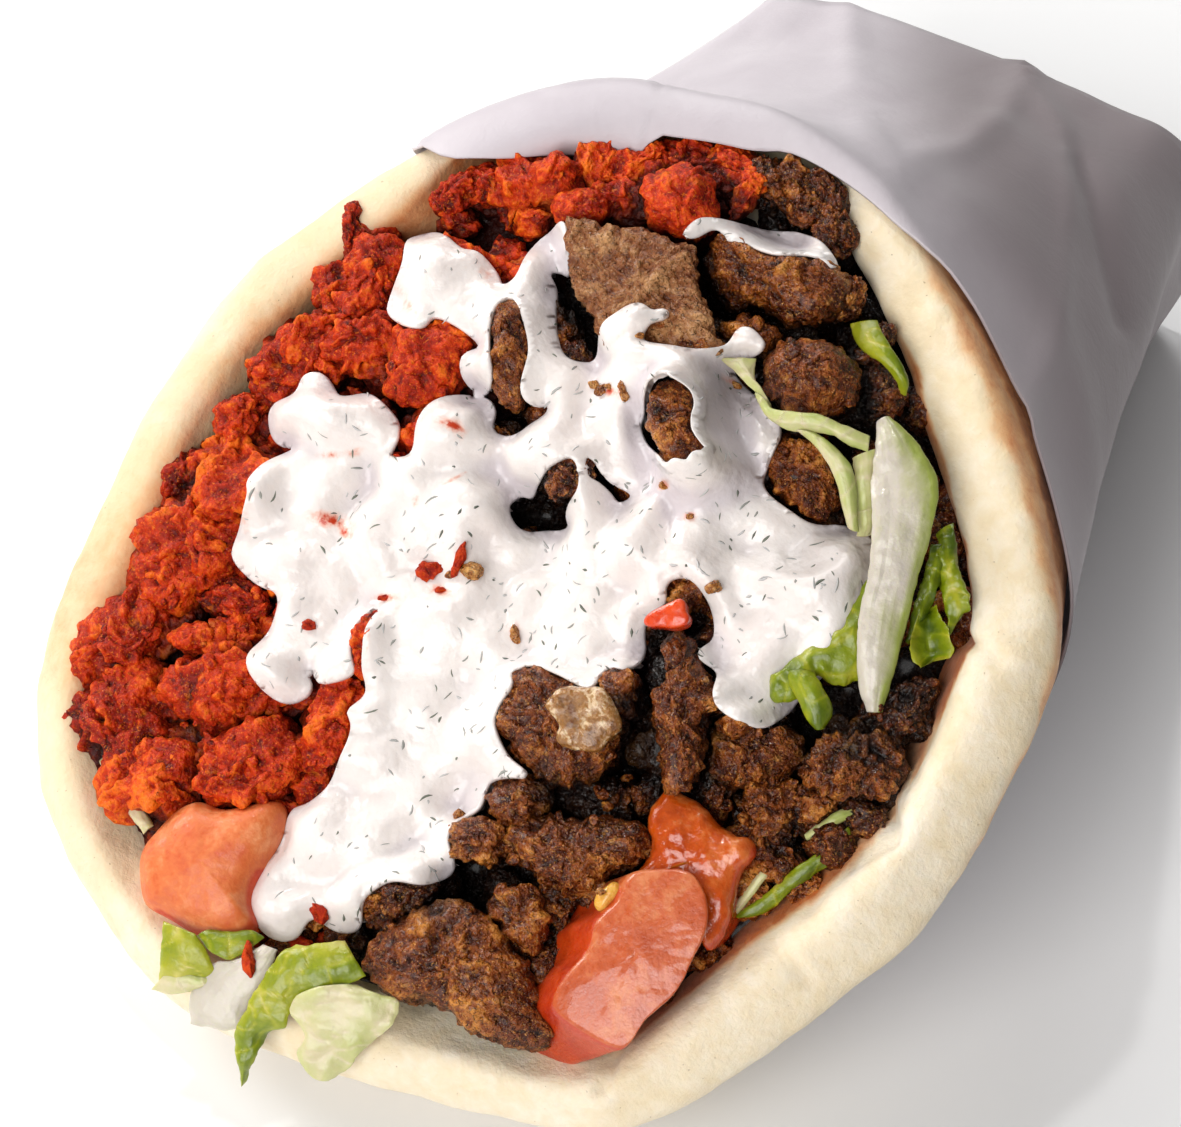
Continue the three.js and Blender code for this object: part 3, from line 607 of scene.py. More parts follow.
@dataclass
class Shape:
    """A mesh while it is made: points in millimetres, faces, and marks, a number a point."""

    points: np.ndarray
    faces: np.ndarray
    marks: dict[str, np.ndarray] = field(default_factory=dict)

    @staticmethod
    def joined(shapes: Sequence["Shape"]) -> "Shape":
        """Several shapes as one.

        Args:
            shapes: shapes with the same marks.

        Returns:
            The joined shape.
        """
        starts = np.cumsum([0, *(len(s.points) for s in shapes)])
        faces = [s.faces + start for s, start in zip(shapes, starts)]
        marks = {n: np.concatenate([s.marks[n] for s in shapes]) for n in shapes[0].marks}
        return Shape(np.vstack([s.points for s in shapes]), np.vstack(faces), marks)

    @staticmethod
    def capped(rings: np.ndarray) -> "Shape":
        """A closed surface through rings of points, each end gathered to its middle.

        Args:
            rings: the rings, in order from one end to the other.

        Returns:
            The shape, its points ring by ring with each end's middle as a ring of its own.
        """
        ends = rings[[0, -1]].mean(1, keepdims=True) + 0 * rings[[0, -1]]
        points = np.concatenate([ends[:1], rings, ends[1:]])
        count = rings.shape[1]
        row, column = np.indices((len(points) - 1, count))
        after = (column + 1) % count
        corners = [row * count + column, row * count + after, (row + 1) * count + after,
                   (row + 1) * count + column]
        return Shape(points.reshape(-1, 3), np.stack(corners, axis=-1).reshape(-1, 4))

    def mark_rings(self, mark: str, values: np.ndarray, ends: str = "constant") -> None:
        """Marks a capped shape.

        Args:
            mark: the mark's name.
            values: a number for each point of each ring, brought into 0 to 1.
            ends: "edge" to give the caps their ring's numbers, instead of 0.
        """
        self.marks[mark] = np.clip(np.pad(values, ((1, 1), (0, 0)), mode=ends), 0, 1).ravel()

    def normals(self) -> np.ndarray:
        """A smooth normal for each point.

        Returns:
            The normals, in the order of the points.
        """
        a, b, c = (self.points[self.faces[:, i]] for i in (0, 1, -1))
        facing = np.cross(b - a, c - a)
        total = np.zeros_like(self.points)
        for column in self.faces.T:
            np.add.at(total, column, facing)
        return unit(total)

    def make(self, name: str, finish: bpy.types.Material, slot: str,
             nodes: Sequence[str] = ()) -> None:
        """Adds the shape to the scene as a piece that rides on the sandwich.

        Args:
            name: the piece's name.
            finish: its material.
            slot: the record's material slot for its finish; not used.
            nodes: the solids that it stands for.
        """
        mesh = bpy.data.meshes.new(name)
        mesh.from_pydata((self.points * MM).tolist(), [], self.faces.tolist())
        for mark, values in self.marks.items():
            layer = mesh.attributes.new(mark, "FLOAT", "POINT")
            layer.data.foreach_set("value", values.astype(np.float32))
        mesh.polygons.foreach_set("use_smooth", [True] * len(mesh.polygons))
        mesh.update()
        mesh.materials.append(finish)
        piece = bpy.data.objects.new(name, mesh)
        bpy.context.scene.collection.objects.link(piece)
        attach(piece, "root")
        if nodes:
            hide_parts(*nodes)
        LOG.info("%s: %d points, %d faces", name, len(self.points), len(self.faces))


class Surface:
    """What lies in the mouth so far, felt from above or seen by the camera."""

    HIGH = 60.0  # where rays start, over the mouth's plane
    NOTHING = -20.0  # the height where there is nothing

    def __init__(self, shapes: Sequence[Shape]) -> None:
        """Gathers shapes for casting rays at."""
        joined = [Shape(s.points, tri) for s in shapes for tri in self._triangles(s.faces)]
        whole = Shape.joined(joined)
        self.tree = BVHTree.FromPolygons(whole.points.tolist(), whole.faces.tolist())

    @staticmethod
    def _triangles(faces: np.ndarray) -> list[np.ndarray]:
        """Faces as triangles."""
        return [faces] if faces.shape[1] == 3 else [faces[:, [0, 1, 2]], faces[:, [0, 2, 3]]]

    def heights(self, places: np.ndarray) -> np.ndarray:
        """Feels for what lies uppermost.

        Args:
            places: an array of places on the mouth.

        Returns:
            The height over the mouth's plane at each, NOTHING where there is nothing.
        """
        high = np.full((*places.shape[:-1], 1), self.HIGH)
        starts = Mouth.point(np.concatenate([places, high], axis=-1))
        found = np.full(places.shape[:-1], self.NOTHING)
        down = Vector(-Mouth.OUT)
        for i in np.ndindex(found.shape):
            hit = self.tree.ray_cast(Vector(starts[i]), down)[3]
            if hit is not None:
                found[i] = self.HIGH - hit
        return found

    def seen(self, x: float, y: float) -> tuple[np.ndarray, np.ndarray] | None:
        """What shows at a pixel.

        Args:
            x: pixels from the picture's left.
            y: pixels from its top.

        Returns:
            The point and its normal, or None where there is nothing.
        """
        way = VIEW.rays(np.array([x, y]))
        spot, normal, _, _ = self.tree.ray_cast(Vector(VIEW.eye), Vector(way))
        return None if spot is None else (np.array(spot), np.array(normal))


@dataclass
class HeightField:
    """Heights over a grid of places on the mouth, in rows of rising a and columns of rising b."""

    places: np.ndarray
    height: np.ndarray

    @staticmethod
    def grid(low: Any, high: Any, step: float) -> np.ndarray:
        """The places of a grid between two corners.

        Args:
            low: the corner with the lowest a and b.
            high: the corner opposite.
            step: the spacing.

        Returns:
            The places, row by row.
        """
        sides = [np.arange(start, end, step) for start, end in zip(low, high)]
        return np.stack(np.meshgrid(*sides, indexing="ij"), axis=-1)

    @property
    def step(self) -> float:
        """The spacing of its places."""
        return float(self.places[1, 0, 0] - self.places[0, 0, 0])

    def at(self, places: np.ndarray) -> np.ndarray:
        """Its height at any places.

        Args:
            places: rows that start with a and b.

        Returns:
            The height at each.
        """
        limit = np.array(self.height.shape) - 1.001
        x, y = np.clip((places[:, :2] - self.places[0, 0]) / self.step, 0, limit).T
        i, j = x.astype(int), y.astype(int)
        x, y, h = x - i, y - j, self.height
        return blend(blend(h[i, j], h[i + 1, j], x), blend(h[i, j + 1], h[i + 1, j + 1], x), y)

    def trace(self, pixels: Any, above: Any) -> np.ndarray:
        """Finds what shows at pixels.

        Args:
            pixels: rows of x and y.
            above: millimetres above the field, for each or for all.

        Returns:
            The place on the mouth for each pixel.
        """
        height = np.full(len(pixels), 6.0)
        for _ in range(16):
            places = VIEW.on_mouth(pixels, height)[:, :2]
            height = blend(height, self.at(places) + above, 0.5)
        return places

    def softened(self, widen: float, blur: float) -> "HeightField":
        """A softer field.

        Args:
            widen: how far its peaks grow sideways, in millimetres.
            blur: how far it is then smoothed.

        Returns:
            The softened field.
        """
        height = self.height
        for _ in range(round(widen / self.step)):
            moved = [np.roll(height, shift, axis) for axis in (0, 1) for shift in (-1, 1)]
            height = np.maximum(height, np.max(moved, axis=0) - 0.2)
        reach = max(1, round(2.5 * blur / self.step))
        weight = np.exp(-0.5 * (np.arange(-reach, reach + 1) * self.step / blur) ** 2)
        weight /= weight.sum()
        for axis in (0, 1):
            padded = np.pad(height, [(reach, reach) if i == axis else (0, 0) for i in (0, 1)],
                            mode="edge")
            height = sum(w * np.take(padded, np.arange(height.shape[axis]) + i, axis)
                         for i, w in enumerate(weight))
        return HeightField(self.places, height)


def ball(detail: int) -> Shape:
    """A unit ball of triangles, coarser in its lower half.

    Args:
        detail: each step makes the mesh twice as fine.

    Returns:
        The ball.
    """
    mesh = bmesh.new()
    bmesh.ops.create_icosphere(mesh, subdivisions=detail - 1, radius=1.0)
    upper = [e for e in mesh.edges if max(v.co.z for v in e.verts) > -0.1]
    bmesh.ops.subdivide_edges(mesh, edges=upper, cuts=1, use_grid_fill=True)
    bmesh.ops.triangulate(mesh, faces=mesh.faces)
    points = np.array([v.co[:] for v in mesh.verts])
    faces = np.array([[v.index for v in f.verts] for f in mesh.faces])
    mesh.free()
    return Shape(unit(points), faces)


# ---- Shading ------------------------------------------------------------------------------------


def colour(code: str) -> tuple[float, float, float, float]:
    """A colour from its six-digit code, as linear light.

    Args:
        code: the code, without a #.

    Returns:
        Red, green, blue and an opacity of 1.
    """
    parts = [int(code[i:i + 2], 16) / 255 for i in (0, 2, 4)]
    linear = [p / 12.92 if p <= 0.04045 else ((p + 0.055) / 1.055) ** 2.4 for p in parts]
    return linear[0], linear[1], linear[2], 1.0


class Graph:
    """A node tree that is built by calls."""

    def __init__(self, tree: bpy.types.NodeTree) -> None:
        """Starts on a tree."""
        self.tree = tree

    def add(self, kind: str, inputs: dict[Any, Any] | None = None, **settings: Any) -> Any:
        """Adds a node.

        Args:
            kind: the node's type, without its ShaderNode prefix.
            inputs: values or sockets, by the input's name or number.
            settings: the node's own properties.

        Returns:
            The node.
        """
        node = self.tree.nodes.new("ShaderNode" + kind)
        for name, value in settings.items():
            setattr(node, name, value)
        for key, value in (inputs or {}).items():
            self.feed(node.inputs[key], value)
        return node

    def feed(self, socket: Any, value: Any) -> None:
        """Gives an input a value, or links a socket to it."""
        if isinstance(value, bpy.types.NodeSocket):
            self.tree.links.new(value, socket)
        else:
            socket.default_value = value

    def where(self) -> Any:
        """The place on the object, in metres."""
        return self.add("TexCoord").outputs["Object"]

    def mark(self, name: str) -> Any:
        """A mark made on the mesh's points."""
        return self.add("Attribute", attribute_name=name).outputs["Fac"]

    def math(self, operation: str, first: Any, second: Any) -> Any:
        """One sum of two values, as Blender names it."""
        return self.add("Math", {0: first, 1: second}, operation=operation).outputs[0]

    def total(self, *parts: tuple[Any, Any], start: float = 0.0, clamp: bool = False) -> Any:
        """A weighted sum.

        Args:
            parts: values, each with its weight.
            start: what is added to them.
            clamp: whether the sum is held between 0 and 1.

        Returns:
            The socket of the sum.
        """
        found: Any = start
        for value, weight in parts:
            node = self.add("Math", {0: value, 1: weight, 2: found}, operation="MULTIPLY_ADD")
            found = node.outputs[0]
        node.use_clamp = clamp
        return found

    def scale(self, value: Any, low: float, high: float, to: tuple[float, float] = (0, 1)) -> Any:
        """Brings a value to another range, and holds it there.

        Args:
            value: a socket.
            low: the value that gives the range's start.
            high: the value that gives its end.
            to: the range.

        Returns:
            The socket of the new value.
        """
        sockets = {"Value": value, "From Min": low, "From Max": high, "To Min": to[0],
                   "To Max": to[1]}
        return self.add("MapRange", sockets).outputs["Result"]

    def noise(self, size: float, detail: float, rough: float = 0.5) -> Any:
        """Noise over the object.

        Args:
            size: size of the features in millimetres.
            detail: number of finer layers.
            rough: strength of each layer against the last.

        Returns:
            The socket of the noise, from 0 to 1.
        """
        sockets = {"Scale": 1 / (size * MM), "Detail": detail, "Roughness": rough,
                   "Vector": self.where()}
        return self.add("TexNoise", sockets).outputs["Fac"]

    def ramp(self, value: Any, shades: Shades) -> Any:
        """A colour for a value.

        Args:
            value: a socket with numbers from 0 to 1.
            shades: places on that range, each with a code.

        Returns:
            The socket of the colour.
        """
        node = self.add("ValToRGB", {"Fac": value})
        elements = node.color_ramp.elements
        while len(elements) < len(shades):
            elements.new(0.5)
        for element, (place, code) in zip(elements, shades):
            element.position = place
            element.color = colour(code)
        return node.outputs["Color"]

    def mix(self, share: Any, first: Any, second: Any) -> Any:
        """A mixture of two colours.

        Args:
            share: how much of the second there is.
            first: a socket or a code.
            second: a socket or a code.

        Returns:
            The socket of the mixture.
        """
        node = self.add("Mix", {0: share}, data_type="RGBA")
        for key, value in ((6, first), (7, second)):
            self.feed(node.inputs[key], colour(value) if isinstance(value, str) else value)
        return node.outputs[2]

    def bump(self, height: Any, depth: float, normal: Any = None) -> Any:
        """A normal tilted by a height.

        Args:
            height: a socket.
            depth: millimetres from the lowest to the highest.
            normal: another bump that this one is added to.

        Returns:
            The socket of the normal.
        """
        sockets = {"Height": height, "Distance": depth * MM}
        if normal is not None:
            sockets["Normal"] = normal
        return self.add("Bump", sockets).outputs["Normal"]

    def group(self, tree: bpy.types.NodeTree, **inputs: Any) -> Any:
        """Places a node group with its own values."""
        node = self.add("Group", node_tree=tree)
        for key, value in inputs.items():
            self.feed(node.inputs[key], value)
        return node


class Groups:
    """The effects that several finishes share."""

    def __init__(self) -> None:
        """Builds each group once."""
        self.mottle = self._mottle()
        self.grain = self._grain()

    @staticmethod
    def _start(name: str, inputs: dict[str, float], outputs: Sequence[str]) -> tuple[Graph, Any, Any]:
        """Starts a group.

        Args:
            name: the group's name.
            inputs: its numbers and their first values, besides the Vector that every group has.
            outputs: the numbers that it gives.

        Returns:
            The group's graph, what it is given and what it gives.
        """
        tree = bpy.data.node_groups.new(name, "ShaderNodeTree")
        tree.interface.new_socket("Vector", in_out="INPUT", socket_type="NodeSocketVector")
        for key, value in inputs.items():
            socket = tree.interface.new_socket(key, in_out="INPUT", socket_type="NodeSocketFloat")
            socket.default_value = value
        for key in outputs:
            tree.interface.new_socket(key, in_out="OUTPUT", socket_type="NodeSocketFloat")
        given, out = tree.nodes.new("NodeGroupInput"), tree.nodes.new("NodeGroupOutput")
        return Graph(tree), given.outputs, out.inputs

    def _mottle(self) -> bpy.types.NodeTree:
        """Soft patches: Size in millimetres and Contrast give a Mask.

        Returns:
            The group.
        """
        graph, given, out = self._start("mottle", {"Size": 5.0, "Contrast": 2.0}, ["Mask"])
        fine = graph.math("DIVIDE", 1 / MM, given["Size"])
        noise = graph.add("TexNoise", {"Vector": given["Vector"], "Scale": fine, "Detail": 4.0,
                                       "Roughness": 0.6, "Distortion": 0.4})
        away = graph.math("SUBTRACT", noise.outputs["Fac"], 0.5)
        mask = graph.total((away, given["Contrast"]), start=0.5, clamp=True)
        graph.feed(out["Mask"], mask)
        return graph.tree

    def _grain(self) -> bpy.types.NodeTree:
        """Grains packed together: Size in millimetres gives a Height and their Gaps.

        Returns:
            The group.
        """
        graph, given, out = self._start("grain", {"Size": 1.0}, ["Height", "Gaps"])
        fine = graph.math("DIVIDE", 1 / MM, given["Size"])
        wobble = graph.add("TexNoise", {"Vector": given["Vector"], "Scale": fine, "Detail": 2.0})
        shift = graph.add("VectorMath", {0: wobble.outputs["Color"], "Scale": 0.6 * MM},
                          operation="SCALE")
        moved = graph.add("VectorMath", {0: given["Vector"], 1: shift.outputs[0]})
        cells = graph.add("TexVoronoi", {"Vector": moved.outputs[0], "Scale": fine},
                          feature="SMOOTH_F1")
        away, rough = cells.outputs["Distance"], wobble.outputs["Fac"]
        graph.feed(out["Height"], graph.total((away, -1.0), (rough, 0.5), start=1.0))
        graph.feed(out["Gaps"], graph.scale(away, 0.45, 0.8))
        return graph.tree


GROUPS = Groups()


class Finish:
    """A material that is started here and finished by its kind."""

    def __init__(self, name: str, **constants: Any) -> None:
        """Starts a material whose shader has some plain values.

        Args:
            name: the material's name.
            constants: the shader's values, its sockets' names with _ for spaces.
        """
        self.material = bpy.data.materials.new(name)
        self.material.use_nodes = True
        self.graph = Graph(self.material.node_tree)
        self.shader = self.material.node_tree.nodes["Principled BSDF"]
        for key, value in constants.items():
            self.set(key.replace("_", " "), value)

    def set(self, socket: str, value: Any) -> None:
        """Feeds one of the shader's sockets."""
        self.graph.feed(self.shader.inputs[socket], value)

    def mottle(self, size: float, contrast: float) -> Any:
        """A mask of soft patches of a size in millimetres."""
        node = self.graph.group(GROUPS.mottle, Vector=self.graph.where(), Size=size,
                                Contrast=contrast)
        return node.outputs["Mask"]

    def grain(self, size: float) -> tuple[Any, Any]:
        """The height of packed grains of a size in millimetres, and the gaps between them."""
        node = self.graph.group(GROUPS.grain, Vector=self.graph.where(), Size=size)
        return node.outputs["Height"], node.outputs["Gaps"]


@dataclass(frozen=True)
class MeatFinish:
    """Cooked meat with its fat, with painted shade in its hollows and gaps, painted light where it
    stands up, and painted glints.
    """

    name: str
    shades: Shades
    # The fat colour is both the meat's fat and its painted glints.
    fat: str
    fat_share: float
    grain: float
    depth: float
    gloss: tuple[float, float]
    pit: str  # painted shade: its colour deep in the gaps
    wet: float

    def make(self) -> bpy.types.Material:
        """Builds the finish.

        Returns:
            The material.
        """
        finish = Finish(self.name, Coat_Weight=self.wet, Coat_Roughness=0.14,
                        Specular_IOR_Level=0.5 * self.wet + 0.2)
        graph = finish.graph
        patches, spots = finish.mottle(4.0, 1.6), finish.mottle(1.0, 1.8)
        height, gaps = finish.grain(self.grain)
        fine = graph.noise(self.grain * 0.6, 2.0, 0.6)
        # Painted shade and light: low relief and the gaps between grains darken the colour, raised
        # parts lighten it.
        lift = graph.total((graph.mark("relief"), 0.5), (patches, 0.2), (spots, 0.2), (fine, 0.3),
                           (graph.mark("tone"), 0.13), (gaps, -0.22), clamp=True)
        base = graph.ramp(lift, self.shades)
        fat = graph.scale(finish.mottle(1.7, 1.0), 0.62 - self.fat_share, 0.74 - self.fat_share)
        base = graph.mix(graph.math("MULTIPLY", fat, 0.5), base, self.fat)
        # Painted glints: fine specks of the fat colour stand for tiny highlights.
        crumbs = graph.scale(graph.noise(0.34, 2.0, 0.7), 0.58, 0.67)
        base = graph.mix(graph.math("MULTIPLY", crumbs, 0.55), base, self.fat)
        # Painted shade: the pit colour is mixed in where a point lies deep between the pieces.
        finish.set("Base Color", graph.mix(graph.mark("deep"), base, self.pit))
        finish.set("Roughness", graph.scale(spots, 0.2, 0.8, self.gloss))
        normal = graph.bump(height, self.depth)
        finish.set("Normal", graph.bump(fine, self.depth * 0.8, normal))
        return finish.material


CHICKEN_FINISH = MeatFinish(
    "chicken", ((0.14, "280200"), (0.36, "680B00"), (0.52, "9C1C00"), (0.7, "C83402"),
                (0.92, "EE6E10")), "F07E18", 0.02, 0.7, 0.35, (0.42, 0.64), "1E0200", 0.03)
BEEF_FINISH = MeatFinish(
    "doner_meat", ((0.12, "100400"), (0.32, "300E01"), (0.5, "561F04"), (0.7, "8C4410"),
                   (0.92, "D08636")), "DC9A4C", 0.03, 0.8, 0.8, (0.16, 0.42), "040100", 0.18)
CUT_FINISH = MeatFinish(
    "doner_meat_cut", ((0.12, "381806"), (0.34, "643014"), (0.55, "8C522A"), (0.88, "BE8A58")),
    "CC9E70", 0.0, 0.7, 0.7, (0.25, 0.5), "140804", 0.15)
BEEF_BIT_FINISH = MeatFinish(
    "doner_meat_bit", ((0.12, "4A200A"), (0.34, "7C4016"), (0.55, "AC682A"), (0.88, "DCA258")),
    "E2B478", 0.03, 0.7, 0.7, (0.15, 0.42), "2C1004", 0.2)
CHICKEN_BIT_FINISH = MeatFinish(
    "chicken_bit", ((0.12, "3A0400"), (0.34, "7C1000"), (0.55, "A42000"), (0.88, "CC4206")),
    "D8560C", 0.02, 0.7, 0.35, (0.5, 0.7), "1E0200", 0.0)


# ---- Meat ---------------------------------------------------------------------------------------


class Meat(Enum):
    """The kinds of meat, by their material slot."""

    CHICKEN = "chicken"
    BEEF = "doner_meat"


class Relief(Enum):
    """Kinds of unevenness, by the sign of their folds."""

    RIDGES = -1.0
    KNOBS = 1.0

    def of(self, noise: np.ndarray) -> np.ndarray:
        """The kind's height for smooth noise."""
        return self.value * (2.2 * np.abs(noise) - 0.7)


@dataclass(frozen=True)
class Texture:
    """How a meat breaks up: its layers, each with a strength and size in millimetres."""

    warp: tuple[float, float]
    layers: tuple[tuple[float, float, Relief], ...]
    run: float  # how far its grain is drawn out
    corners: float  # how sharp the corners of its lumps are

    def carve(self, shape: Shape, local: np.ndarray, scale: Any, noise: Noise) -> None:
        """Breaks up the surface of lumps and marks how far each point stands up.

        Args:
            shape: the lumps, changed in place.
            local: the place of each point within its own lump.
            scale: the strength for each point, or for all, from 0 to 1.
            noise: where the pattern comes from.
        """
        where = local / np.array([self.run, 1.0, 1.0])
        scale = np.broadcast_to(scale, len(local))
        strength, size = self.warp
        shape.points += noise.swirl(where / size) * (strength * scale)[:, None]
        normal = shape.normals()
        bend = noise.swirl(where / 3.1 + 70) * 0.35
        rise, relief = np.zeros(len(local)), np.zeros(len(local))
        for i, (strength, size, kind) in enumerate(self.layers):
            value = kind.of(noise.smooth(where / size + bend + 13.7 * i))
            rise += strength * value
            relief += 0.7**i * value
        shape.points += normal * (rise * scale)[:, None]
        shape.marks["relief"] = np.clip(0.5 + 0.36 * relief, 0, 1)


TEXTURES = {
    Meat.CHICKEN: Texture((1.4, 5.5), ((0.9, 4.8, Relief.RIDGES), (0.6, 2.4, Relief.KNOBS),
                                       (0.42, 1.25, Relief.KNOBS), (0.2, 0.7, Relief.RIDGES)),
                          1.2, 8.0),
    Meat.BEEF: Texture((1.1, 6.5), ((0.7, 4.6, Relief.KNOBS), (0.55, 2.2, Relief.RIDGES),
                                    (0.5, 1.2, Relief.KNOBS), (0.22, 0.7, Relief.KNOBS)),
                       1.0, 10.0),
}


@dataclass(frozen=True)
class Lump:
    """One chopped piece: its middle on the mouth, its half sizes and how it is turned."""

    a: float
    b: float
    h: float
    length: float
    width: float
    thickness: float
    yaw: float
    seed: int

    CUTS = 11  # flat faces round it

    @property
    def scale(self) -> float:
        """The size of its relief against a large piece's."""
        return min(1.0, self.width / 4.5)

    def covers(self, places: np.ndarray, share: float) -> np.ndarray:
        """Whether the lump covers places.

        Args:
            places: rows of a and b.
            share: how much of its outline's area counts.

        Returns:
            Whether each place is inside.
        """
        along, across = turned(places - [self.a, self.b], self.yaw)
        return (along / self.length) ** 2 + (across / self.width) ** 2 <= share

    def block(self, form: Shape, corners: float) -> tuple[Shape, np.ndarray]:
        """A block with cut faces, and each point's place within it.

        Args:
            form: the unit ball that it is made from.
            corners: how sharp its corners are.

        Returns:
            The block, and its points before they are turned and placed.
        """
        rng = np.random.default_rng(self.seed)
        ways = unit(form.points + [0, 0, 0.3])
        cuts = unit(rng.normal(size=(self.CUTS, 3)))
        reach = rng.uniform(0.72, 1.0, self.CUTS)
        towards = np.maximum(0, ways @ cuts.T / reach)
        limit = (towards**corners).sum(1) + 0.94**corners
        local = ways * (limit ** (-1 / corners))[:, None]
        local *= np.array([self.length, self.width, self.thickness]) * 1.1
        turn = Matrix.Rotation(math.radians(self.yaw), 3, "Z")
        tip = Matrix.Rotation(rng.uniform(-0.2, 0.2), 3, "X")
        placed = local @ np.array(turn @ tip).T + [self.a, self.b, self.h]
        shape = Shape(Mouth.point(placed), form.faces)
        shape.marks["tone"] = np.full(len(local), rng.uniform(-1, 1))
        return shape, local / self.scale + rng.uniform(0, 200, 3)


@dataclass(frozen=True)
class Slice:
    """A soft-edged piece, cut to an outline in the picture."""

    name: str
    outline: Pixels
    top: float  # height of its top over the mouth
    depth: float
    edge: float = 2.0  # radius of its top edge
    dome: float = 1.2  # how far the top's middle stands up
    tilt: tuple[float, float] = (0.0, 0.0)  # rise for each millimetre across and up
    rough: float = 0.7  # strength of its relief
    under: float = 0.92  # size of the underside against the top's
    lean: tuple[float, float] = (0.0, 0.0)  # how far the underside lies to the right and up

    @property
    def corners(self) -> np.ndarray:
        """The outline on the mouth, as rows of a and b."""
        return VIEW.on_mouth(self.outline, self.top)[:, :2]

    def _profile(self, inset: float, inner: int) -> list[tuple[float, float, float]]:
        """The piece's section, from the middle of its top to that of its underside.

        Args:
            inset: the width of the rounded edge, as a share of the radius.
            inner: number of rings in the flat top.

        Returns:
            A row for each ring: its size against the rim, how far it lies below the top, and how
            far it is turned to the side, in radians.
        """
        rows = [(share * (1 - inset), 0.0, 0.0) for share in np.linspace(0.04, 1, inner)]
        rows += [(1 - inset * (1 - math.sin(t)), self.edge * (1 - math.cos(t)), t)
                 for t in np.linspace(0, math.pi / 2, 7)[1:]]
        rows += [(blend(1.0, self.under, drop / self.depth), drop, 2.0)
                 for drop in np.linspace(self.edge, self.depth, 9)[1:]]
        return rows + [(self.under * share, self.depth + 0.4, 2.0) for share in (0.93, 0.6, 0.2)]

    def form(self, fine: float = 13.0) -> tuple[Shape, np.ndarray, np.ndarray]:
        """The piece before it is roughened.

        Args:
            fine: how many points its rim has for each millimetre of its radius.

        Returns:
            The shape, how far each ring is turned to the side, and the rim from its middle.
        """
        corners = self.corners
        radius = np.linalg.norm(corners - corners.mean(0), axis=1).mean()
        rim = spaced_loop(corners, 40 + round(fine * radius), 0.35)
        middle = rim.mean(0)
        rows = self._profile(min(0.8, self.edge / radius), 4 + round(fine / 9 * radius))
        rings = []
        for share, drop, _ in rows:
            away = (rim - middle) * share
            height = self.top - drop + away @ np.array(self.tilt)
            height = height + self.dome * (1 - min(1.0, share) ** 2) * (drop < self.depth)
            shift = np.array(self.lean) * drop / self.depth
            rings.append(np.column_stack([middle + away + shift, height]))
        side = np.repeat([smoothstep(turn, 0.5, 1.3) for _, _, turn in rows], len(rim))
        shape = Shape.capped(Mouth.point(np.array(rings)))
        return shape, side.reshape(len(rows), len(rim)), rim - middle


class Butcher:
    """Makes lumps of meat."""

    def __init__(self) -> None:
        """Readies the forms and the noise."""
        self.noise = Noise(11)
        self.forms = {detail: ball(detail) for detail in (2, 3, 4, 5)}

    def cut(self, meat: Meat, lumps: Sequence[Lump], detail: int) -> Shape:
        """Lumps of one kind of meat as a shape.

        Args:
            meat: the kind.
            lumps: the pieces.
            detail: how fine their meshes are.

        Returns:
            The lumps, joined.
        """
        texture, form = TEXTURES[meat], self.forms[detail]
        made = [lump.block(form, texture.corners) for lump in lumps]
        shape = Shape.joined([block for block, _ in made])
        scale = np.repeat([lump.scale for lump in lumps], len(form.points))
        texture.carve(shape, np.vstack([local for _, local in made]), scale, self.noise)
        return shape

    def carve(self, meat: Meat, piece: Slice, seed: int) -> Shape:
        """A piece of meat with an outline of its own.

        Args:
            meat: the kind.
            piece: its outline and form.
            seed: which part of the pattern it gets.

        Returns:
            The piece.
        """
        shape, _, _ = piece.form(11.0)
        local = Mouth.place(shape.points) + 17.0 * seed
        TEXTURES[meat].carve(shape, local, piece.rough, self.noise)
        shape.marks["tone"] = np.full(len(local), 0.3)
        return shape


# name, a, b, h of the middle, half length, half width, half thickness, yaw in degrees
BEEF_CHUNKS = [
    ("mid", 1, 29, 5, 6, 3, 3, 13),
    ("pit", -4, 8, 8.4, 3, 2.6, 3, 63),
    ("notch", 13.5, 1, 5.5, 4, 3, 3, 3),
    ("rim_right", 42.5, -3, 1, 5.5, 3, 3, 53),
    ("dark_right", 40, -10.5, 0, 6.5, 5, 4.5, 43),
    ("by_tomato", 35, -21.5, -1, 5, 4, 3, -37),
    ("tongue", -2.5, -45.5, 6.5, 5, 3, 3, 43),
]
CHICKEN_CHUNKS = [
    ("tall", -39.5, 21, 1.5, 8.5, 4.5, 4.5, 103),
    ("upper", -29, 16, 4, 9, 5, 4.5, 33),
    ("shelf", -44, 7.5, 0, 8.5, 4.5, 4.5, 53),
    ("side", -44, -9.5, 1.5, 6.5, 6.5, 5, 63),
    ("wing", -47.5, -19, 2.5, 7, 5.5, 4.5, 53),
    ("corner", -50, -32, 3, 7, 5, 4.5, 83),
    ("edge", -45, -42.5, 4, 6.5, 5.5, 4.5, 23),
    ("red_low", -37, -45.5, 5, 6.5, 5.5, 5.5, 23),
    ("front", -27, -39, 5.5, 7, 5.5, 5, 33),
    ("sauce_side", -19, -29.5, 5.5, 7, 3.5, 4.5, 103),
    ("middle", -34.5, -31, 4, 9, 4.5, 4.5, 31),
    ("back_big", -9.5, 44, 1, 4.5, 5, 4.5, 83),
    ("back_left", -25.5, 40, -1.5, 5.5, 4.5, 4.5, 23),
    ("coated_top", -30.5, 25, 2.5, 6, 5, 4, 13),
    ("coated_mid", -35, 3, 1.5, 5.5, 4.5, 4, 3),
    ("coated_right", -21.5, 7, 3, 5, 4, 4, 33),
]
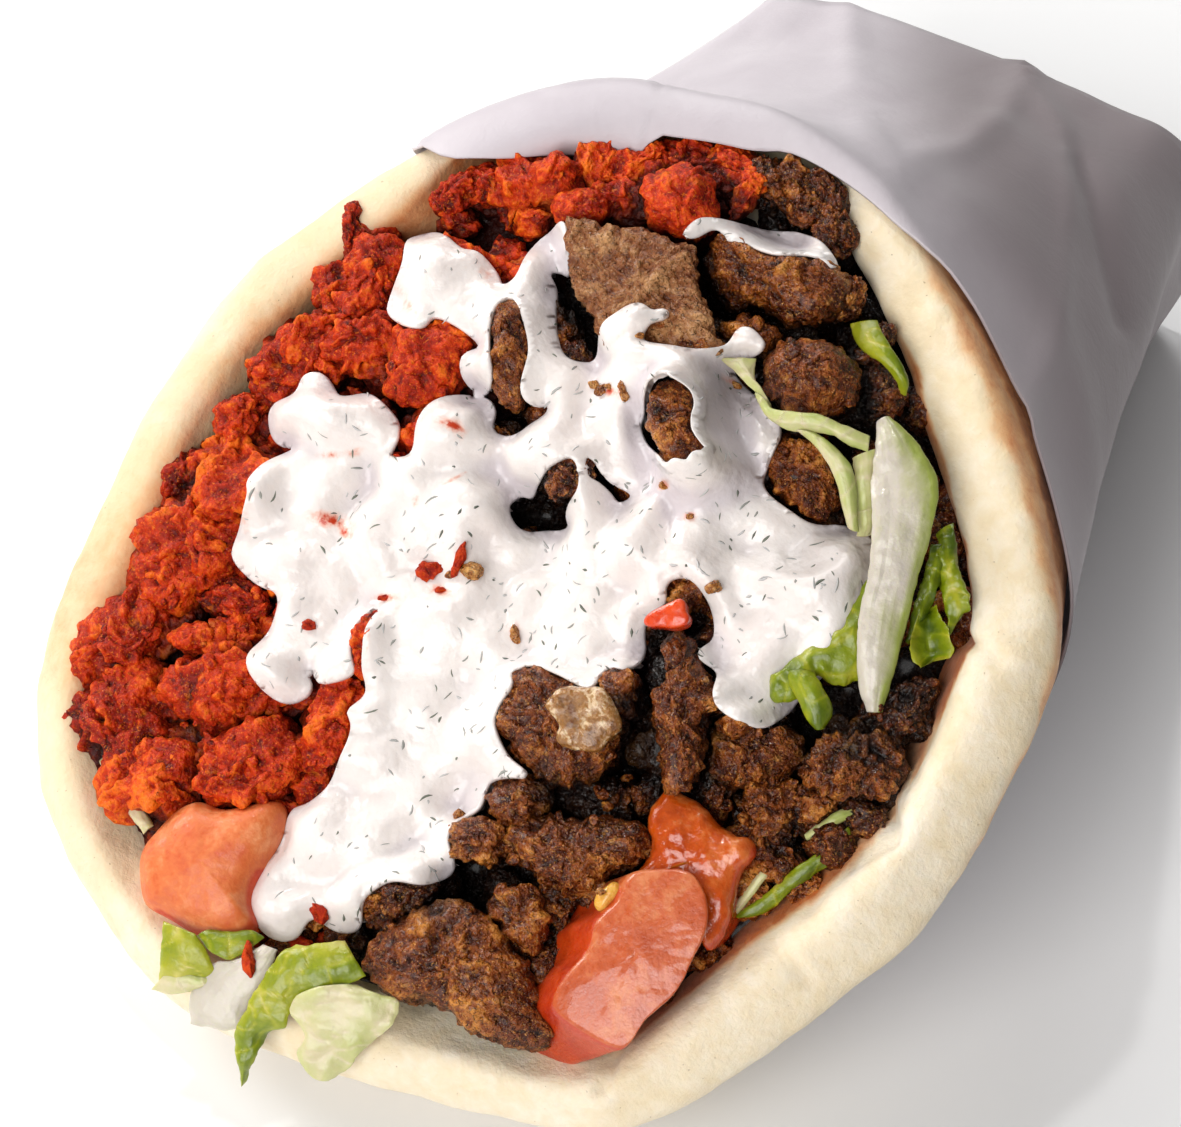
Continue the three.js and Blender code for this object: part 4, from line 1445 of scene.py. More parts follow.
# More pieces: x and y in the picture, height over the mouth, half length, half width, half
# thickness, yaw in degrees
MORE_CHICKEN = [
    (455, 196, 3.5, 3.0, 2.2, 2.2, 40), (490, 188, 3.0, 3.5, 2.6, 2.4, 10),
    (520, 200, 2.5, 3.4, 2.6, 2.4, 70), (596, 168, 2.6, 3.8, 2.6, 2.6, 100),
    (622, 170, 2.4, 3.6, 2.4, 2.4, 30), (622, 205, 3.2, 3.6, 2.8, 2.6, 10),
    (648, 166, 1.4, 3.4, 2.4, 2.4, 60), (688, 160, 1.4, 4.0, 2.6, 2.4, 20),
    (714, 168, 1.4, 4.2, 2.6, 2.4, 30), (744, 178, 1.2, 4.0, 2.6, 2.4, 340),
    (726, 184, 2.4, 5.0, 2.0, 2.0, 5), (748, 190, 3.4, 3.6, 1.6, 1.8, 85),
    (716, 196, 2.6, 3.2, 2.4, 2.4, 30), (354, 228, 4.0, 3.0, 1.4, 1.6, 120),
    (370, 300, 4.6, 4.6, 3.4, 3.0, 70), (340, 292, 3.6, 4.2, 3.0, 2.6, 100),
    (320, 330, 3.6, 4.6, 3.4, 3.0, 60), (362, 342, 5.6, 4.6, 3.6, 3.2, 30),
    (330, 368, 3.6, 3.8, 2.8, 2.6, 80), (240, 420, 2.4, 3.8, 2.8, 2.6, 100),
    (222, 456, 2.4, 4.0, 3.0, 2.4, 70), (190, 480, 1.6, 4.4, 3.2, 2.8, 110),
    (160, 530, 1.2, 4.0, 3.0, 2.8, 30), (92, 612, 2.4, 4.2, 1.4, 1.6, 130),
    (150, 636, 2.4, 4.0, 3.0, 2.8, 60), (232, 600, 4.0, 4.4, 2.4, 2.0, 10),
    (240, 636, 3.4, 4.0, 2.8, 2.6, 70), (84, 712, 2.4, 4.0, 2.4, 2.6, 100),
    (170, 700, 3.6, 4.2, 3.2, 2.8, 20), (290, 690, 3.6, 4.6, 3.0, 2.6, 60),
]
MORE_BEEF = [
    (815, 214, 1.6, 3.6, 2.0, 2.2, 10),
    (774, 184, 1.0, 4.2, 2.8, 2.6, 340), (800, 193, 1.0, 4.2, 2.8, 2.6, 330),
    (822, 200, 1.0, 3.4, 2.6, 2.4, 310), (764, 184, 1.0, 3.6, 2.6, 2.4, 0),
    (838, 236, 1.8, 2.8, 2.4, 2.2, 60), (846, 300, 1.6, 3.0, 2.0, 2.2, 90),
    (870, 350, 1.6, 3.6, 2.6, 2.4, 70), (866, 392, 1.4, 4.6, 3.2, 2.8, 20),
    (905, 720, 2.0, 3.8, 3.0, 2.6, 40), (855, 740, 3.4, 4.2, 3.2, 2.8, 10),
    (870, 780, 2.6, 4.6, 3.2, 2.8, 30), (820, 800, 3.6, 4.2, 3.0, 2.8, 60),
    (770, 810, 4.8, 4.4, 3.2, 2.8, 110), (600, 800, 4.0, 5.4, 3.2, 3.0, 20),
    (560, 905, 5.0, 3.8, 2.4, 2.6, 110), (590, 885, 5.4, 3.4, 2.4, 2.4, 150),
    (380, 900, 7.0, 4.4, 2.0, 2.2, 20), (745, 850, 4.0, 3.4, 2.6, 2.4, 30),
]
BEEF_SLICES = (
    Slice("slab_top", ((561, 219), (566, 216), (600, 217), (642, 219), (652, 229), (668, 235),
                       (688, 243), (694, 262), (699, 290), (711, 316), (708, 332), (718, 344),
                       (704, 352), (692, 344), (678, 355), (660, 347), (640, 352), (622, 343),
                       (604, 346), (594, 334), (581, 304), (568, 266)), 10.6, 8.0, 1.2,
          0.5, (0.02, -0.03), 0.55),
    Slice("top_right", ((706, 240), (728, 231), (760, 240), (798, 250), (830, 262), (846, 284),
                        (840, 310), (818, 324), (786, 318), (760, 302), (736, 306), (714, 294),
                        (703, 268)), 6.6, 9.0, 3.0, 1.6),
    Slice("round", ((757, 365), (766, 345), (790, 333), (820, 332), (843, 344), (854, 366),
                    (850, 392), (832, 408), (800, 413), (774, 403), (760, 386)), 10.2, 10.0, 3.6,
          1.8, (0, 0), 0.5),
    Slice("under_lettuce", ((760, 455), (774, 432), (800, 426), (824, 442), (836, 470),
                            (838, 500), (822, 522), (800, 514), (778, 496), (763, 478)), 5.6, 8.0,
          2.6, 1.4),
    Slice("ridge", ((646, 394), (656, 378), (674, 376), (692, 388), (699, 408), (695, 428),
                    (710, 446), (708, 462), (688, 470), (664, 462), (658, 442), (648, 424)), 15.4,
          9.0, 2.2, 1.2, (0, 0), 0.55),
    Slice("long", ((492, 306), (504, 298), (518, 304), (524, 326), (527, 350), (523, 380),
                   (514, 404), (500, 400), (490, 378), (488, 344)), 10.6, 8.0, 2.0, 1.2, (0, 0),
          0.5),
    Slice("onion_bed", ((496, 702), (504, 684), (516, 667), (540, 664), (562, 672), (590, 684),
                        (612, 690), (622, 712), (618, 740), (606, 760), (588, 773), (566, 782),
                        (545, 779), (528, 768), (511, 752), (498, 730)), 11.4, 9.0, 2.6, 1.6),
    Slice("onion_side", ((597, 676), (611, 664), (628, 668), (638, 681), (636, 700), (627, 715),
                         (612, 717), (601, 702)), 11.6, 6.0, 2.0, 1.2, (0, 0), 0.5),
    Slice("upright", ((655, 640), (668, 630), (685, 633), (691, 650), (702, 664), (716, 682),
                      (720, 702), (708, 718), (700, 738), (694, 760), (686, 782), (671, 791),
                      (661, 778), (658, 754), (652, 732), (646, 712), (652, 688), (662, 668)), 12.0,
          9.0, 2.4, 1.2, (0, 0), 0.85),
    Slice("middle", ((696, 742), (712, 724), (740, 716), (764, 727), (786, 722), (799, 738),
                     (794, 760), (778, 774), (756, 784), (730, 788), (706, 782)), 8.4, 8.0, 3.0,
          1.4),
    Slice("broad", ((500, 842), (514, 823), (545, 815), (575, 822), (602, 814), (626, 817),
                    (646, 830), (642, 852), (624, 867), (602, 879), (575, 891), (545, 887),
                    (519, 873), (503, 859)), 10.0, 9.0, 2.8, 1.4),
    Slice("left_mid", ((482, 794), (498, 778), (524, 775), (545, 785), (548, 807), (532, 821),
                       (508, 823), (489, 813)), 9.6, 8.0, 2.4, 1.2),
    Slice("low_mid", ((484, 902), (498, 886), (521, 883), (541, 895), (547, 918), (542, 943),
                      (528, 962), (511, 957), (497, 937), (487, 920)), 9.4, 8.0, 2.2, 1.2),
    Slice("slab_front", ((358, 956), (376, 927), (402, 908), (432, 899), (462, 902), (484, 914),
                         (502, 938), (522, 966), (538, 1006), (546, 1038), (530, 1046),
                         (500, 1044), (474, 1034), (450, 1014), (420, 1002), (390, 996),
                         (368, 980)), 10.6, 9.0, 3.0, 1.8, (0, 0), 0.6),
)
LOOSE_SLICES = (
    Slice("cluster", ((446, 838), (461, 820), (483, 815), (502, 828), (504, 848), (488, 863),
                      (464, 864), (449, 852)), 9.8, 7.0, 2.0, 1.0),
    Slice("back", ((716, 322), (738, 312), (764, 318), (778, 334), (760, 350), (736, 350)), 7.6,
          7.0, 2.2, 1.0),
    Slice("bright", ((640, 330), (660, 322), (690, 326), (712, 334), (724, 346), (700, 352),
                     (668, 348)), 10.4, 6.0, 1.8, 0.8),
    Slice("crumb", ((716, 718), (730, 710), (748, 716), (752, 730), (738, 738), (722, 732)), 11.0,
          5.0, 1.4, 0.8),
)
CHICKEN_SLICES = (
    Slice("big", ((640, 176), (660, 164), (688, 166), (708, 180), (712, 206), (700, 228),
                  (674, 236), (650, 226), (638, 202)), 8.6, 9.0, 2.6, 1.4),
    Slice("bright", ((524, 176), (538, 160), (566, 156), (584, 168), (580, 186), (556, 196),
                     (532, 192)), 6.6, 7.0, 2.0, 1.2),
    Slice("pink", ((548, 194), (566, 184), (592, 186), (606, 200), (598, 220), (572, 224),
                   (552, 214)), 7.2, 7.0, 2.0, 1.0, (0, 0), 0.4),
    Slice("crown", ((352, 240), (372, 228), (396, 234), (404, 252), (394, 272), (372, 278),
                    (354, 264)), 7.0, 7.0, 2.4, 1.2),
    Slice("wall", ((246, 360), (266, 344), (292, 346), (300, 366), (286, 384), (262, 388),
                   (248, 376)), 4.4, 6.0, 2.2, 1.2),
    Slice("mass", ((384, 336), (410, 322), (446, 328), (472, 344), (462, 372), (436, 392),
                   (404, 400), (382, 378)), 9.4, 8.0, 3.0, 1.6),
    Slice("chunk", ((180, 512), (206, 500), (236, 508), (244, 540), (228, 572), (196, 580),
                    (178, 550)), 6.0, 7.0, 2.8, 1.4),
    Slice("chunk2", ((126, 560), (150, 546), (186, 548), (196, 574), (184, 604), (150, 614),
                     (128, 592)), 5.4, 7.0, 2.8, 1.4),
    Slice("flap", ((82, 616), (98, 604), (112, 618), (116, 646), (100, 676), (80, 694),
                   (70, 680), (74, 646)), 5.4, 6.0, 2.2, 1.2),
    Slice("shelf2", ((166, 640), (188, 624), (218, 628), (224, 644), (204, 656), (178, 656)), 7.0,
          6.0, 2.0, 1.2),
    Slice("wide", ((90, 700), (104, 662), (138, 652), (160, 676), (158, 722), (136, 756),
                   (106, 750)), 6.0, 8.0, 3.0, 1.6),
    Slice("inner", ((182, 690), (202, 658), (236, 652), (254, 680), (244, 720), (214, 742),
                    (188, 728)), 8.0, 8.0, 3.0, 1.6),
    Slice("dark", ((116, 776), (136, 744), (172, 736), (194, 756), (192, 794), (160, 818),
                   (128, 806)), 8.0, 8.0, 3.2, 1.8, (0, 0), 0.5),
    Slice("rim", ((192, 770), (206, 740), (240, 722), (276, 718), (298, 734), (294, 770),
                  (268, 796), (230, 808), (200, 800)), 9.4, 8.0, 2.6, 0.6),
    Slice("edge2", ((298, 720), (316, 694), (342, 690), (352, 712), (344, 748), (326, 780),
                    (304, 772)), 9.0, 7.0, 2.2, 1.2),
    Slice("streak", ((350, 640), (360, 612), (374, 606), (376, 630), (370, 660), (358, 676),
                     (350, 664)), 10.4, 5.0, 1.6, 0.6),
)


@dataclass
class MeatPiece:
    """A shape of meat, with what it needs to become an object."""

    name: str
    shape: Shape
    meat: Meat
    node: str = ""  # the solid that it stands for, if it has one
    cut: bool = False  # whether it has a flat cut face and the finish for it


@dataclass
class Filling:
    """The chopped meat: a core, crumbs strewn over it and the pieces that show singly."""

    butcher: Butcher
    spacing: float = 5.0  # between crumbs
    crumb_tries: int = 7000
    crumb_sizes: tuple[float, float] = (2.4, 4.6)
    speck_count: int = 210
    speck_sizes: tuple[float, float] = (0.5, 1.2)
    # Hollows between the pieces, sunk into the core and darkened with painted shade: pixel, radius in
    # millimetres and depth.
    hollows: tuple[tuple[float, float, float, float], ...] = (
        (532, 508, 4.0, 4.0), (672, 636, 3.0, 3.0), (636, 712, 2.4, 3.0), (640, 762, 2.6, 3.0),
        (560, 800, 4.0, 2.0), (600, 800, 4.0, 2.0), (452, 905, 4.5, 2.5), (822, 722, 5.0, 3.0),
        (868, 742, 5.0, 3.0), (900, 690, 5.0, 3.2), (930, 655, 4.0, 2.5), (760, 690, 3.0, 2.0),
        (742, 200, 3.5, 2.0), (566, 302, 2.4, 3.0),
        (640, 920, 3.0, 2.0), (786, 830, 2.5, 1.5))
    pieces: list[MeatPiece] = field(default_factory=list)

    @property
    def shapes(self) -> list[Shape]:
        """The shapes of all the meat."""
        return [piece.shape for piece in self.pieces]

    def build(self) -> None:
        """Makes every piece of meat, with its finish."""
        self._core()
        self._chunks()
        self._extras()
        self._crumbs()
        self._mark_gap_shade()
        self._specks()
        finishes = {Meat.CHICKEN: CHICKEN_FINISH.make(), Meat.BEEF: BEEF_FINISH.make()}
        cut = CUT_FINISH.make()
        for piece in self.pieces:
            finish = cut if piece.cut else finishes[piece.meat]
            nodes = [piece.node] if piece.node else []
            piece.shape.make(piece.name, finish, piece.meat.value, nodes)

    @staticmethod
    def _side(meat: Meat, places: np.ndarray) -> np.ndarray:
        """Whether places are on a meat's side of the mouth.

        Args:
            meat: the kind.
            places: an array of places on the mouth.

        Returns:
            Whether each is on its side.
        """
        chicken = [*DIVIDE, (-120, -80), (-120, 72)]
        left = outline_distance(places.reshape(-1, 2), chicken).reshape(places.shape[:-1]) > 0
        return left == (meat is Meat.CHICKEN)

    def _sink(self, places: np.ndarray) -> np.ndarray:
        """How deep the hollows are, which also deepens their painted shade.

        Args:
            places: an array of places on the mouth.

        Returns:
            The depth at each.
        """
        depth = np.zeros(places.shape[:-1])
        for x, y, radius, deep in self.hollows:
            away = np.linalg.norm(places - VIEW.on_mouth((x, y), 5.0)[:2], axis=-1)
            depth = np.maximum(depth, deep * bell(away / radius))
        return depth

    def _core(self) -> None:
        """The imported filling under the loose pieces, one half for each meat."""
        noise = self.butcher.noise
        rings = []
        for share in np.linspace(0.02, 0.99, 40):
            places = BED.out(np.linspace(0, TURN, 160, endpoint=False), share)
            flat = np.column_stack([places, BED.height(places) - 2.0])
            flat[:, 2] += (1.5 * (0.5 - noise.nearest(flat / 3.6)) + 0.6 * noise.smooth(flat / 6)
                           - self._sink(places))
            rings.append(flat)
        top = np.array(rings)
        low = top[-1] * [0.85, 0.85, 1] - [0, 0, 16]
        for meat, node in ((Meat.CHICKEN, "chicken_heap"), (Meat.BEEF, "beef_heap")):
            half = top.copy()
            half[..., 2] -= np.where(self._side(meat, top[..., :2]), 0.0, 9.0)
            shape = Shape.capped(Mouth.point([*half, low]))
            # The core shows only between the pieces, so its low relief and dark tone are painted
            # shade.
            shape.marks["relief"] = np.full(len(shape.points), 0.3)
            shape.marks["tone"] = np.full(len(shape.points), -0.4)
            self.pieces.append(MeatPiece(node + "_core", shape, meat, node))

    def _chunks(self) -> None:
        """The pieces that show singly."""
        for meat, stem, rows, seed in ((Meat.CHICKEN, "chicken_", CHICKEN_CHUNKS, 41),
                                       (Meat.BEEF, "beef_", BEEF_CHUNKS, 1)):
            for i, (name, a, b, h, *sizes) in enumerate(rows):
                low = float(BED.height(np.array([a, b]))) + 0.3 * sizes[2]
                lump = Lump(a, b, max(h, low), *sizes, seed + i)
                shape = self.butcher.cut(meat, [lump], 5)
                self.pieces.append(MeatPiece(f"{stem}{name}_piece", shape, meat, stem + name))
        for i, piece in enumerate(BEEF_SLICES):
            shape = self.butcher.carve(Meat.BEEF, piece, i)
            node = "beef_" + piece.name
            self.pieces.append(MeatPiece(node + "_piece", shape, Meat.BEEF, node,
                                         piece.name == "slab_top"))

    def _extras(self) -> None:
        """Pieces that fill in between, up to the bread and the paper."""
        for meat, rows, slices, seed in ((Meat.CHICKEN, MORE_CHICKEN, CHICKEN_SLICES, 200),
                                         (Meat.BEEF, MORE_BEEF, LOOSE_SLICES, 300)):
            carved = [self.butcher.carve(meat, piece, seed + i) for i, piece in enumerate(slices)]
            self.pieces.append(MeatPiece(f"{meat.value}_cuts", Shape.joined(carved), meat))
            lumps = [Lump(*VIEW.on_mouth((x, y), h), *sizes, seed + i)
                     for i, (x, y, h, *sizes) in enumerate(rows)]
            self._add_lumps("scraps", meat, lumps, 5)

    def _add_lumps(self, name: str, meat: Meat, lumps: Sequence[Lump], detail: int) -> None:
        """Adds lumps of one meat as one piece.

        Args:
            name: the end of the piece's name.
            meat: the kind.
            lumps: the lumps.
            detail: how fine their meshes are.
        """
        shape = self.butcher.cut(meat, lumps, detail)
        self.pieces.append(MeatPiece(f"{meat.value}_{name}", shape, meat))

    def _spaced(self, places: np.ndarray) -> list[int]:
        """Chooses places of which none is too near another.

        Args:
            places: rows of a and b, the first of them wanted most.

        Returns:
            The rows to keep.
        """
        kept: list[int] = []
        for i, place in enumerate(places):
            if (((places[kept] - place) ** 2).sum(1) > self.spacing**2).all():
                kept.append(i)
        return kept

    def _crumbs(self) -> None:
        """Smaller pieces strewn between the large ones."""
        rng = np.random.default_rng(5)
        places = BED.strewn(rng, self.crumb_tries, 0.98)
        free = self._sink(places) < 0.9
        for piece in (*BEEF_SLICES, *LOOSE_SLICES, *CHICKEN_SLICES):
            free &= outline_distance(places, piece.corners) < -0.5
        for _, *sizes in BEEF_CHUNKS + CHICKEN_CHUNKS:
            free &= ~Lump(*sizes, 0).covers(places, 0.45)
        order = np.flatnonzero(free)
        kept = order[self._spaced(places[order])]
        height = BED.height(places)
        for meat in Meat:
            lumps = []
            for i in kept[self._side(meat, places[kept])]:
                length = rng.uniform(*self.crumb_sizes)
                wide, thick = length * rng.uniform(0.6, 0.95, 2)
                rise = rng.uniform(-1.4, 0.8)
                lumps.append(Lump(*places[i], height[i] + rise, length, wide, thick,
                                  rng.uniform(0, 360), 500 + int(i)))
            self._add_lumps("crumbs", meat, lumps, 4)

    def _specks(self) -> None:
        """Tiny crumbs caught on whatever lies uppermost."""
        rng = np.random.default_rng(8)
        places = BED.strewn(rng, self.speck_count, 0.97)
        height = Surface(self.shapes).heights(places)
        slab = VIEW.on_mouth(BEEF_SLICES[0].outline, 10.0)[:, :2]
        clear = (outline_distance(places, slab) < -1) & (height > Surface.NOTHING)
        for meat in Meat:
            lumps = []
            for i in np.flatnonzero(self._side(meat, places) & clear):
                length = rng.uniform(*self.speck_sizes)
                lumps.append(Lump(*places[i], height[i] + 0.1, length, length * 0.75,
                                  length * 0.6, rng.uniform(0, 360), 9000 + int(i)))
            self._add_lumps("specks", meat, lumps, 2)

    def _mark_gap_shade(self) -> None:
        """Marks how deep every point lies between the pieces round it, for the painted shade in the
        gaps.
        """
        step = 0.8
        places = [Mouth.place(shape.points) for shape in self.shapes]
        low = np.vstack(places).min(0)[:2]
        cells = [((place[:, :2] - low) / step).astype(int) for place in places]
        size = np.vstack(cells).max(0) + 1
        height = np.full(size, -6.0)
        for place, cell in zip(places, cells):
            np.maximum.at(height, (cell[:, 0], cell[:, 1]), place[:, 2])
        grid = low + step * np.moveaxis(np.indices(size), 0, -1)
        tops = HeightField(grid, height).softened(1.6, 1.4)
        for shape, place in zip(self.shapes, places):
            below = tops.at(place[:, :2]) - place[:, 2] + self._sink(place[:, :2])
            # The deep mark paints shade: it darkens towards the pit colour.
            shape.marks["deep"] = 0.95 * smoothstep(below, 0.7, 4.2)


# ---- Bread --------------------------------------------------------------------------------------


@dataclass(frozen=True)
class BreadFinish:
    """Soft flatbread: creamy, floury and toasted where the griddle touched it, with painted tan shade
    on its left side.
    """

    crumb: Shades = ((0.1, "D6BF96"), (0.45, "E6D4B2"), (0.8, "F1E7D4"))
    tan: Shades = ((0.0, "F0CE94"), (0.5, "E0902F"), (1.0, "BC6012"))
    brown: Shades = ((0.0, "EEB85E"), (0.45, "D0781E"), (1.0, "80400C"))
    speck: str = "7A5A32"

    def make(self) -> bpy.types.Material:
        """Builds the finish.

        Returns:
            The material.
        """
        finish = Finish("bread", Subsurface_Weight=0.18, Subsurface_Radius=(1.0, 0.7, 0.4),
                        Subsurface_Scale=0.002, Roughness=0.62, Sheen_Weight=0.12,
                        Sheen_Roughness=0.6)
        graph = finish.graph
        patches, spots = finish.mottle(14.0, 1.3), finish.mottle(2.4, 1.8)
        base = graph.ramp(graph.total((patches, 0.7), (spots, 0.3)), self.crumb)
        # The tan follows the scorched edge and the painted tan shade.
        tan = graph.scale(graph.total((graph.mark("crust_and_shade"), 1.0), (spots, 0.34)), 0.32, 1.15)
        base = graph.mix(tan, base, graph.ramp(tan, self.tan))
        brown = graph.total((graph.mark("toast"), 1.0), (patches, 0.4), (spots, 0.35))
        brown = graph.scale(brown, 0.55, 1.4)
        base = graph.mix(brown, base, graph.ramp(brown, self.brown))
        specks = graph.scale(graph.noise(0.55, 1.0), 0.76, 0.8)
        finish.set("Base Color", graph.mix(graph.math("MULTIPLY", specks, 0.45), base, self.speck))
        height = graph.total((graph.noise(0.8, 4.0, 0.65), 1.0), (finish.mottle(3.5, 1.2), 1.4))
        finish.set("Normal", graph.bump(height, 0.16))
        return finish.material


@dataclass(frozen=True)
class Bread:
    """The flatbread that is rolled into a cone."""

    columns: int = 380
    seed: int = 21
    wall: float = 130.0  # length of the wall from the mouth to the closed end
    turn: float = 14.0  # round the edge
    toast_at: float = -0.8  # millimetres round the edge to where it is toasted
    # Where the thin scorched line inside the edge starts: angle in degrees and millimetres.
    scorch_from: tuple[tuple[float, float], ...] = (
        (-60, 15.6), (-25, 15.4), (0, 14.2), (15, 12.6), (30, 10.9), (45, 9.3), (62, 8.5))
    # Pressed into the edge.
    creases: tuple[Crease, ...] = (
        Crease(((962, 628), (972, 640), (985, 650), (1000, 661)), 7.0, -1.0),
        Crease(((896, 812), (900, 830), (896, 845)), 7.0, -1.1),
        Crease(((895, 846), (868, 868), (838, 892), (812, 918)), 6.0, -0.7),
        Crease(((620, 1048), (612, 1070), (600, 1092)), 6.0, -0.8),
        Crease(((780, 952), (792, 962), (806, 978)), 5.0, -0.9),
    )

    def build(self) -> None:
        """Makes the bread, with its finish."""
        wall = Wall(self.columns)
        noise = Noise(self.seed)
        stations = [*-np.linspace(0.94, 0.12, 30), *-np.linspace(0.1, 0.006, 14),
                    *np.linspace(0, 1, 26), *(1 + np.linspace(0.008, 0.2, 14))]
        rows = np.array([self._ring(station, wall, noise) for station in stations])
        shape = Shape.capped(rows)
        self._brown(shape, rows, np.array(stations)[:, None], wall, noise)
        shape.make("flatbread", BreadFinish().make(), "bread", ["bread"])

    def _ring(self, station: float, wall: Wall, noise: Noise) -> np.ndarray:
        """One ring of points, uneven and creased.

        Args:
            station: where it lies; above 1 it is as far down the inner face.
            wall: the columns that it follows.
            noise: where the unevenness comes from.

        Returns:
            A point for each column.
        """
        inside = station > 1
        plain = wall.skin(1 - station, -BREAD) if inside else wall.skin(station)
        off = 0.55 * noise.smooth(plain / 19) + 0.28 * noise.smooth(plain / 7)
        off += 0.1 * noise.smooth(plain / 2.6)
        if station < 0:
            # Under the paper it lies nearly smooth.
            off = blend(off, np.minimum(0.1, 0.3 * off), smoothstep(-station, 0.01, 0.05))
        off += wall.swell
        if -0.03 <= station <= 1.1:
            places = VIEW.pixels(plain)
            creased = sum(crease.rise(places, 2) for crease in self.creases)
            off += creased * (np.abs(wall.degrees + 30) < 75)
        row = wall.skin(1 - station, -BREAD - off) if inside else wall.skin(station, off)
        if station > 0:
            # Where the paper folds over the edge, the bread is tucked under it.
            start = wall.skin(0, off)
            row = blend(row, blend(start, row, 0.3), wall.sector(77, 131, 14)[:, None])
        return row

    def _brown(self, shape: Shape, rows: np.ndarray, station: np.ndarray, wall: Wall,
               noise: Noise) -> None:
        """Marks where the bread is toasted brown, where its edge is scorched warm tan, and where tan
        shade is painted on its left side.

        Args:
            shape: the bread, which gets the marks.
            rows: its rings of points.
            station: each ring's station, in a column.
            wall: the columns that the rings follow.
            noise: where the unevenness comes from.
        """
        rough = noise.layered(rows / 6)
        slow = noise.smooth(rows / 17 + 9)
        # Millimetres along the bread, from the edge's outer corner inwards.
        mm = np.where(station < 0, station * self.wall,
                      np.where(station > 1, self.turn + (station - 1) * self.wall,
                               station * self.turn))
        right, left = wall.sector(-12, 68, 22), wall.sector(92, 212, 30)
        edge = mm - self.toast_at + rough * 0.9
        toast = right * (1 - smoothstep(edge, -1.6, 1.8)) * (0.85 + 0.3 * slow)
        toast += 0.25 * wall.sector(-75, -20, 25) * bell((mm + 2 + rough) / 2.5) * (0.6 + slow)
        toast += 0.9 * smoothstep(-mm, 4, 9) * smoothstep(slow + 0.5 * rough, 0.05, 0.7)
        scorch = mm + 0.8 * rough - np.interp(wall.degrees, *zip(*self.scorch_from))
        crust_and_shade = wall.sector(-56, 60, 14) * smoothstep(scorch, 0, 1.1) * (0.9 + 0.3 * slow)
        # Painted shade: a tan cast over the left side, deeper on the inner face towards the filling.
        crust_and_shade += left * (0.31 + 0.2 * smoothstep(mm + rough, 7.0, 14.0))
        crust_and_shade += 0.35 * wall.sector(100, 160, 30) * smoothstep(mm + rough, 9.0, 14.0)
        crust_and_shade += 0.75 * right * smoothstep(5.2 - mm - 1.3 * rough, 0, 4.0)
        # Painted shade: a faint tan over the lower left, toning down where the left light falls
        # strongest.
        crust_and_shade += 0.27 * wall.sector(-170, -120, 40)
        shape.mark_rings("toast", toast)
        shape.mark_rings("crust_and_shade", crust_and_shade)


# ---- Paper --------------------------------------------------------------------------------------


@dataclass(frozen=True)
class PaperFinish:
    """Thin white greaseproof paper with a faint sheen, toned a dull lilac for the shade it lies in,
    and painted darker where it turns from the light.
    """

    # Dull lilac rather than white: painted shade.
    shades: Shades = ((0.2, "BEB5BB"), (0.6, "C9C1C6"), (0.9, "D3CCD0"))
    shaded: str = "877C7E"

    def make(self) -> bpy.types.Material:
        """Builds the finish.

        Returns:
            The material.
        """
        finish = Finish("paper", Roughness=0.5, Subsurface_Weight=0.1,
                        Subsurface_Radius=(1.0, 1.0, 1.0), Subsurface_Scale=0.002,
                        Specular_IOR_Level=0.4)
        graph = finish.graph
        base = graph.ramp(finish.mottle(16.0, 1.0), self.shades)
        # Painted shade: the shaded colour is mixed in where the paper turns from the light and at its
        # hem.
        painted_shade = graph.math("MULTIPLY", graph.mark("painted_shade"), 0.95)
        finish.set("Base Color", graph.mix(painted_shade, base, self.shaded))
        height = graph.total((graph.noise(0.5, 3.0), 0.25), (finish.mottle(5.0, 1.3), 1.0))
        finish.set("Normal", graph.bump(height, 0.12))
        return finish.material


